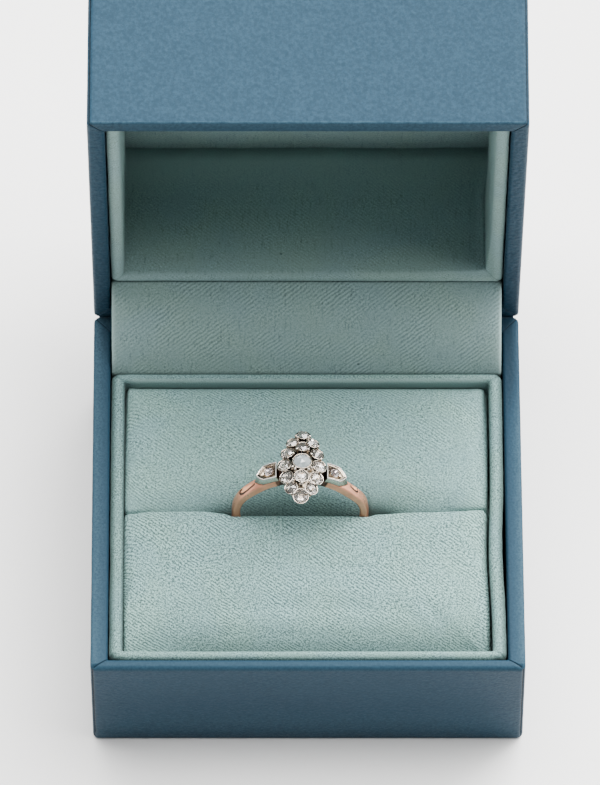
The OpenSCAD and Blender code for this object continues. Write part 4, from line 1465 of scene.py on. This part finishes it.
class RINGBOX_OT_pads(PieceOperator):
    """Adds the two pads of the base and the padded panel of the lid."""

    bl_idname = "ringbox.pads"
    bl_label = "Pads"

    def execute(self, context):
        s, r = context.scene.ring_box_lining, context.scene.ring_box_ring
        shank = (r.lean, (r.bore / 2 + r.shank) / MM, r.back_width / MM / 2)
        for node, (name, facing, seed) in PADS.items():
            low, high = corners_mm(node) + PAD_GROWTH
            form = pad_form(low, high, facing, shank, s.slant / MM, seed)
            piece = add_piece(name, tapered(bowed(form)), MATERIALS[node])

            def slot(x, z, facing=facing):
                """Y of this pad's face along the slot."""
                return slot_face(x, z, facing, shank)

            def held(points, top=high[2]):
                """Pins what is deep in the tray, and the slot's faces near the ring."""
                x, y, z = points.T
                deep = ease(top - 1.2, top - 4.0, z)
                near_slot = ease(1.2, 0.5, np.abs(y - slot(x, z)))
                return np.maximum(deep, near_slot * ease(20, 15, np.abs(x - RING_CENTRE[0])))

            swell(piece, s.voxel, s.puff, held)
            paint_pile_shade(piece, facing, slot)
            lay_cloth_map(piece, 1, lambda points: points[:, 2].max() - points[:, 2])
            self.finish(piece, "base", "velvet", node)
        self.add_panel()
        return {"FINISHED"}

    def add_panel(self):
        """Padded panel in the lid: a flat cushion whose face swells towards the opening."""
        (x0, y0, z0), (x1, y1, z1) = corners_mm("lid_panel")
        loops = rect_loops([
            [x0 + inset, x1 - inset, z0 + inset, z1 - inset, max(0.8 - inset, 0.2), share]
            for inset, share in PANEL_ROWS])
        x, z, share = np.moveaxis(loops, -1, 0)
        bulge = 0.18 * ripple(x, z, 41, 18.0) * share
        form = closed_form(stacked(x, y1 - share * (y1 - y0 - 0.2) + bulge, z))
        piece = add_piece("lid_cushion", tapered(form), MATERIALS["panel"])
        lay_cloth_map(piece, 2, lambda points: points[:, 1] - points[:, 1].min())
        self.finish(piece, "lid", "velvet", "lid_panel")


class RINGBOX_OT_ring(PieceOperator):
    """Adds the gold shank, the silver shoulders and the head."""

    bl_idname = "ringbox.ring"
    bl_label = "Ring"

    def execute(self, context):
        s = context.scene.ring_box_ring
        shank_r = (s.bore / 2 + s.shank) / MM
        silver_r = shank_r + METAL_GAP + s.silver / MM
        for name, form, metal, slot, node in (
            ("gold_shank", shank_form(s), "gold", "rose_gold", "ring_shank"),
            ("left_setting", shoulder_form(-1, shank_r, silver_r), "silver", "silver", "left_shoulder"),
            ("right_setting", shoulder_form(1, shank_r, silver_r), "silver", "silver", "right_shoulder"),
            ("silver_head", head_form(s, shank_r + METAL_GAP), "silver", "silver", "ring_head"),
        ):
            self.put(name, moved(form, ring_turn(s), RING_CENTRE), metal, "base", slot, node)
        return {"FINISHED"}


class RINGBOX_OT_stones(PieceOperator):
    """Adds the rose-cut stones of the head and the shoulders."""

    bl_idname = "ringbox.stones"
    bl_label = "Stones"

    def execute(self, context):
        s = context.scene.ring_box_ring
        matrix = ring_turn(s)
        sides = np.linspace(0, 2 * np.pi, 8, endpoint=False)
        for seed, (node, d, turn, centre, _) in enumerate(stone_places()):
            start = np.random.default_rng(seed + 50).uniform(0, 1)
            outline = d / 2 * stacked(np.cos(sides + start), np.sin(sides + start))
            form = cut_form(outline, depth=0.22, crown=0.62, height=0.28 * d, uneven=0.02 * d, seed=seed + 5)
            form = moved(moved(form, turn, centre), matrix @ about("Z", -HEAD_TWIST), RING_CENTRE)
            self.add(node, form, "centre_diamond" if node == "stone_centre" else "diamond")
        seat = (s.bore / 2 + s.shank + s.silver) / MM + METAL_GAP - 0.45
        for side, node in ((-1, "stone_shoulder_left"), (1, "stone_shoulder_right")):
            outline = shield_loop(SEAT_SCALE * 0.94, SEAT_SHIFT, columns=9) * np.array([side, 1])
            form = cut_form(outline[::side], depth=0, crown=0.55, height=0.66, uneven=0.03, seed=90 + side)
            form = moved(form, offset=[0, 0, seat + 0.30])
            self.add(node, moved(form, matrix @ about("Y", side * SHIELD_MID), RING_CENTRE), "shoulder_diamond")
        return {"FINISHED"}

    def add(self, node, form, material):
        """Adds one stone in place of its node."""
        self.put(node.replace("stone", "rose_cut"), form, material, "base", "diamond", node, smooth=False)


# [name, place in metres, size in metres, power, tint] of the lights, which all face LIGHTS_AIM
LIGHTS = (
    ("Overhead Softbox", (0.15, 0.45, 1.2), (1.9, 1.2), 90.0, (1.0, 0.99, 0.97)),
    ("Back Softbox", (0.9, 1.5, 1.1), (1.6, 1.2), 120.0, (1.0, 0.99, 0.98)),
)
LIGHTS_AIM = np.array([0, 0, 0.02])
CAMERA_AIM = np.array([-0.00113, 0.0161, 0.0227])
PHOTO_HEIGHT, PHOTO_FOCAL = 785.0, 9613.0    # the photograph's height and focal length, in pixels
SENSOR = 24.0


class RINGBOX_OT_stage(PieceOperator):
    """Adds the floor, the lights, the world and the camera."""

    bl_idname = "ringbox.stage"
    bl_label = "Stage"

    def execute(self, context):
        s = context.scene.ring_box_stage
        x, y = np.meshgrid(*[np.linspace(-1500, 1500, 5)] * 2)
        piece = add_piece("stage_floor", grid_form(stacked(x, y, -0.02)), floor_material(tuple(s.floor)))
        world = bpy.data.worlds.new("Studio")
        world.use_nodes = True
        background = world.node_tree.nodes["Background"]
        feed(world.node_tree, background, {"Color": (0.93, 0.96, 1.0, 1), "Strength": 0.34})
        context.scene.world = world
        for name, where, size, power, tint in LIGHTS:
            light = bpy.data.lights.new(name, "AREA")
            light.shape = "RECTANGLE"
            light.size, light.size_y = size
            light.energy = power
            light.color = tint
            lamp = bpy.data.objects.new(name, light)
            context.scene.collection.objects.link(lamp)
            lamp.location = where
            x, y, z = LIGHTS_AIM - np.array(where)
            lamp.rotation_euler = (math.atan2(math.hypot(x, y), -z), 0, math.atan2(y, x) - math.pi / 2)
        self.add_camera(context.scene, s)
        return {"FINISHED"}

    def add_camera(self, scene, s):
        """Camera on the photograph's line of sight, aimed a little to the left of the middle."""
        camera = bpy.data.cameras.new("Camera")
        camera.sensor_fit = "VERTICAL"
        camera.sensor_height = SENSOR
        camera.lens = SENSOR * PHOTO_FOCAL / PHOTO_HEIGHT
        camera.clip_end = 20.0
        eye = bpy.data.objects.new("Camera", camera)
        scene.collection.objects.link(eye)
        away = np.array([0, -math.cos(s.elevation), math.sin(s.elevation)])
        eye.location = CAMERA_AIM + away * s.distance
        eye.rotation_euler = (math.pi / 2 - s.elevation, 0, 0)
        scene.camera = eye


class RINGBOX_PT_panel(bpy.types.Panel):
    """Lists the settings and the operators."""

    bl_label = "Ring Box"
    bl_idname = "RINGBOX_PT_panel"
    bl_space_type = "VIEW_3D"
    bl_region_type = "UI"
    bl_category = "Ring Box"

    def draw(self, context):
        for attribute, group in SETTINGS.items():
            box = self.layout.box()
            box.label(text=group.__doc__.strip())
            settings = getattr(context.scene, attribute)
            for key in group.__annotations__:
                box.prop(settings, key)
        for operator in OPERATORS:
            self.layout.operator(operator.bl_idname)


OPERATORS = [
    RINGBOX_OT_stage, RINGBOX_OT_materials, RINGBOX_OT_covering, RINGBOX_OT_trays, RINGBOX_OT_flap,
    RINGBOX_OT_pads, RINGBOX_OT_ring, RINGBOX_OT_stones,
]


def register():
    """Registers the settings, the operators and the panel."""
    for group in SETTINGS.values():
        bpy.utils.register_class(group)
    for attribute, group in SETTINGS.items():
        setattr(bpy.types.Scene, attribute, bpy.props.PointerProperty(type=group))
    for operator in OPERATORS:
        bpy.utils.register_class(operator)
    bpy.utils.register_class(RINGBOX_PT_panel)


def unregister():
    """Takes away what register adds."""
    bpy.utils.unregister_class(RINGBOX_PT_panel)
    for operator in reversed(OPERATORS):
        bpy.utils.unregister_class(operator)
    for attribute, group in SETTINGS.items():
        delattr(bpy.types.Scene, attribute)
        bpy.utils.unregister_class(group)


def main():
    register()
    bpy.ops.ringbox.stage()
    bpy.ops.ringbox.materials()
    bpy.ops.ringbox.covering()
    bpy.ops.ringbox.trays()
    bpy.ops.ringbox.flap()
    bpy.ops.ringbox.pads()
    bpy.ops.ringbox.ring()
    bpy.ops.ringbox.stones()


if __name__ == "__main__":
    main()
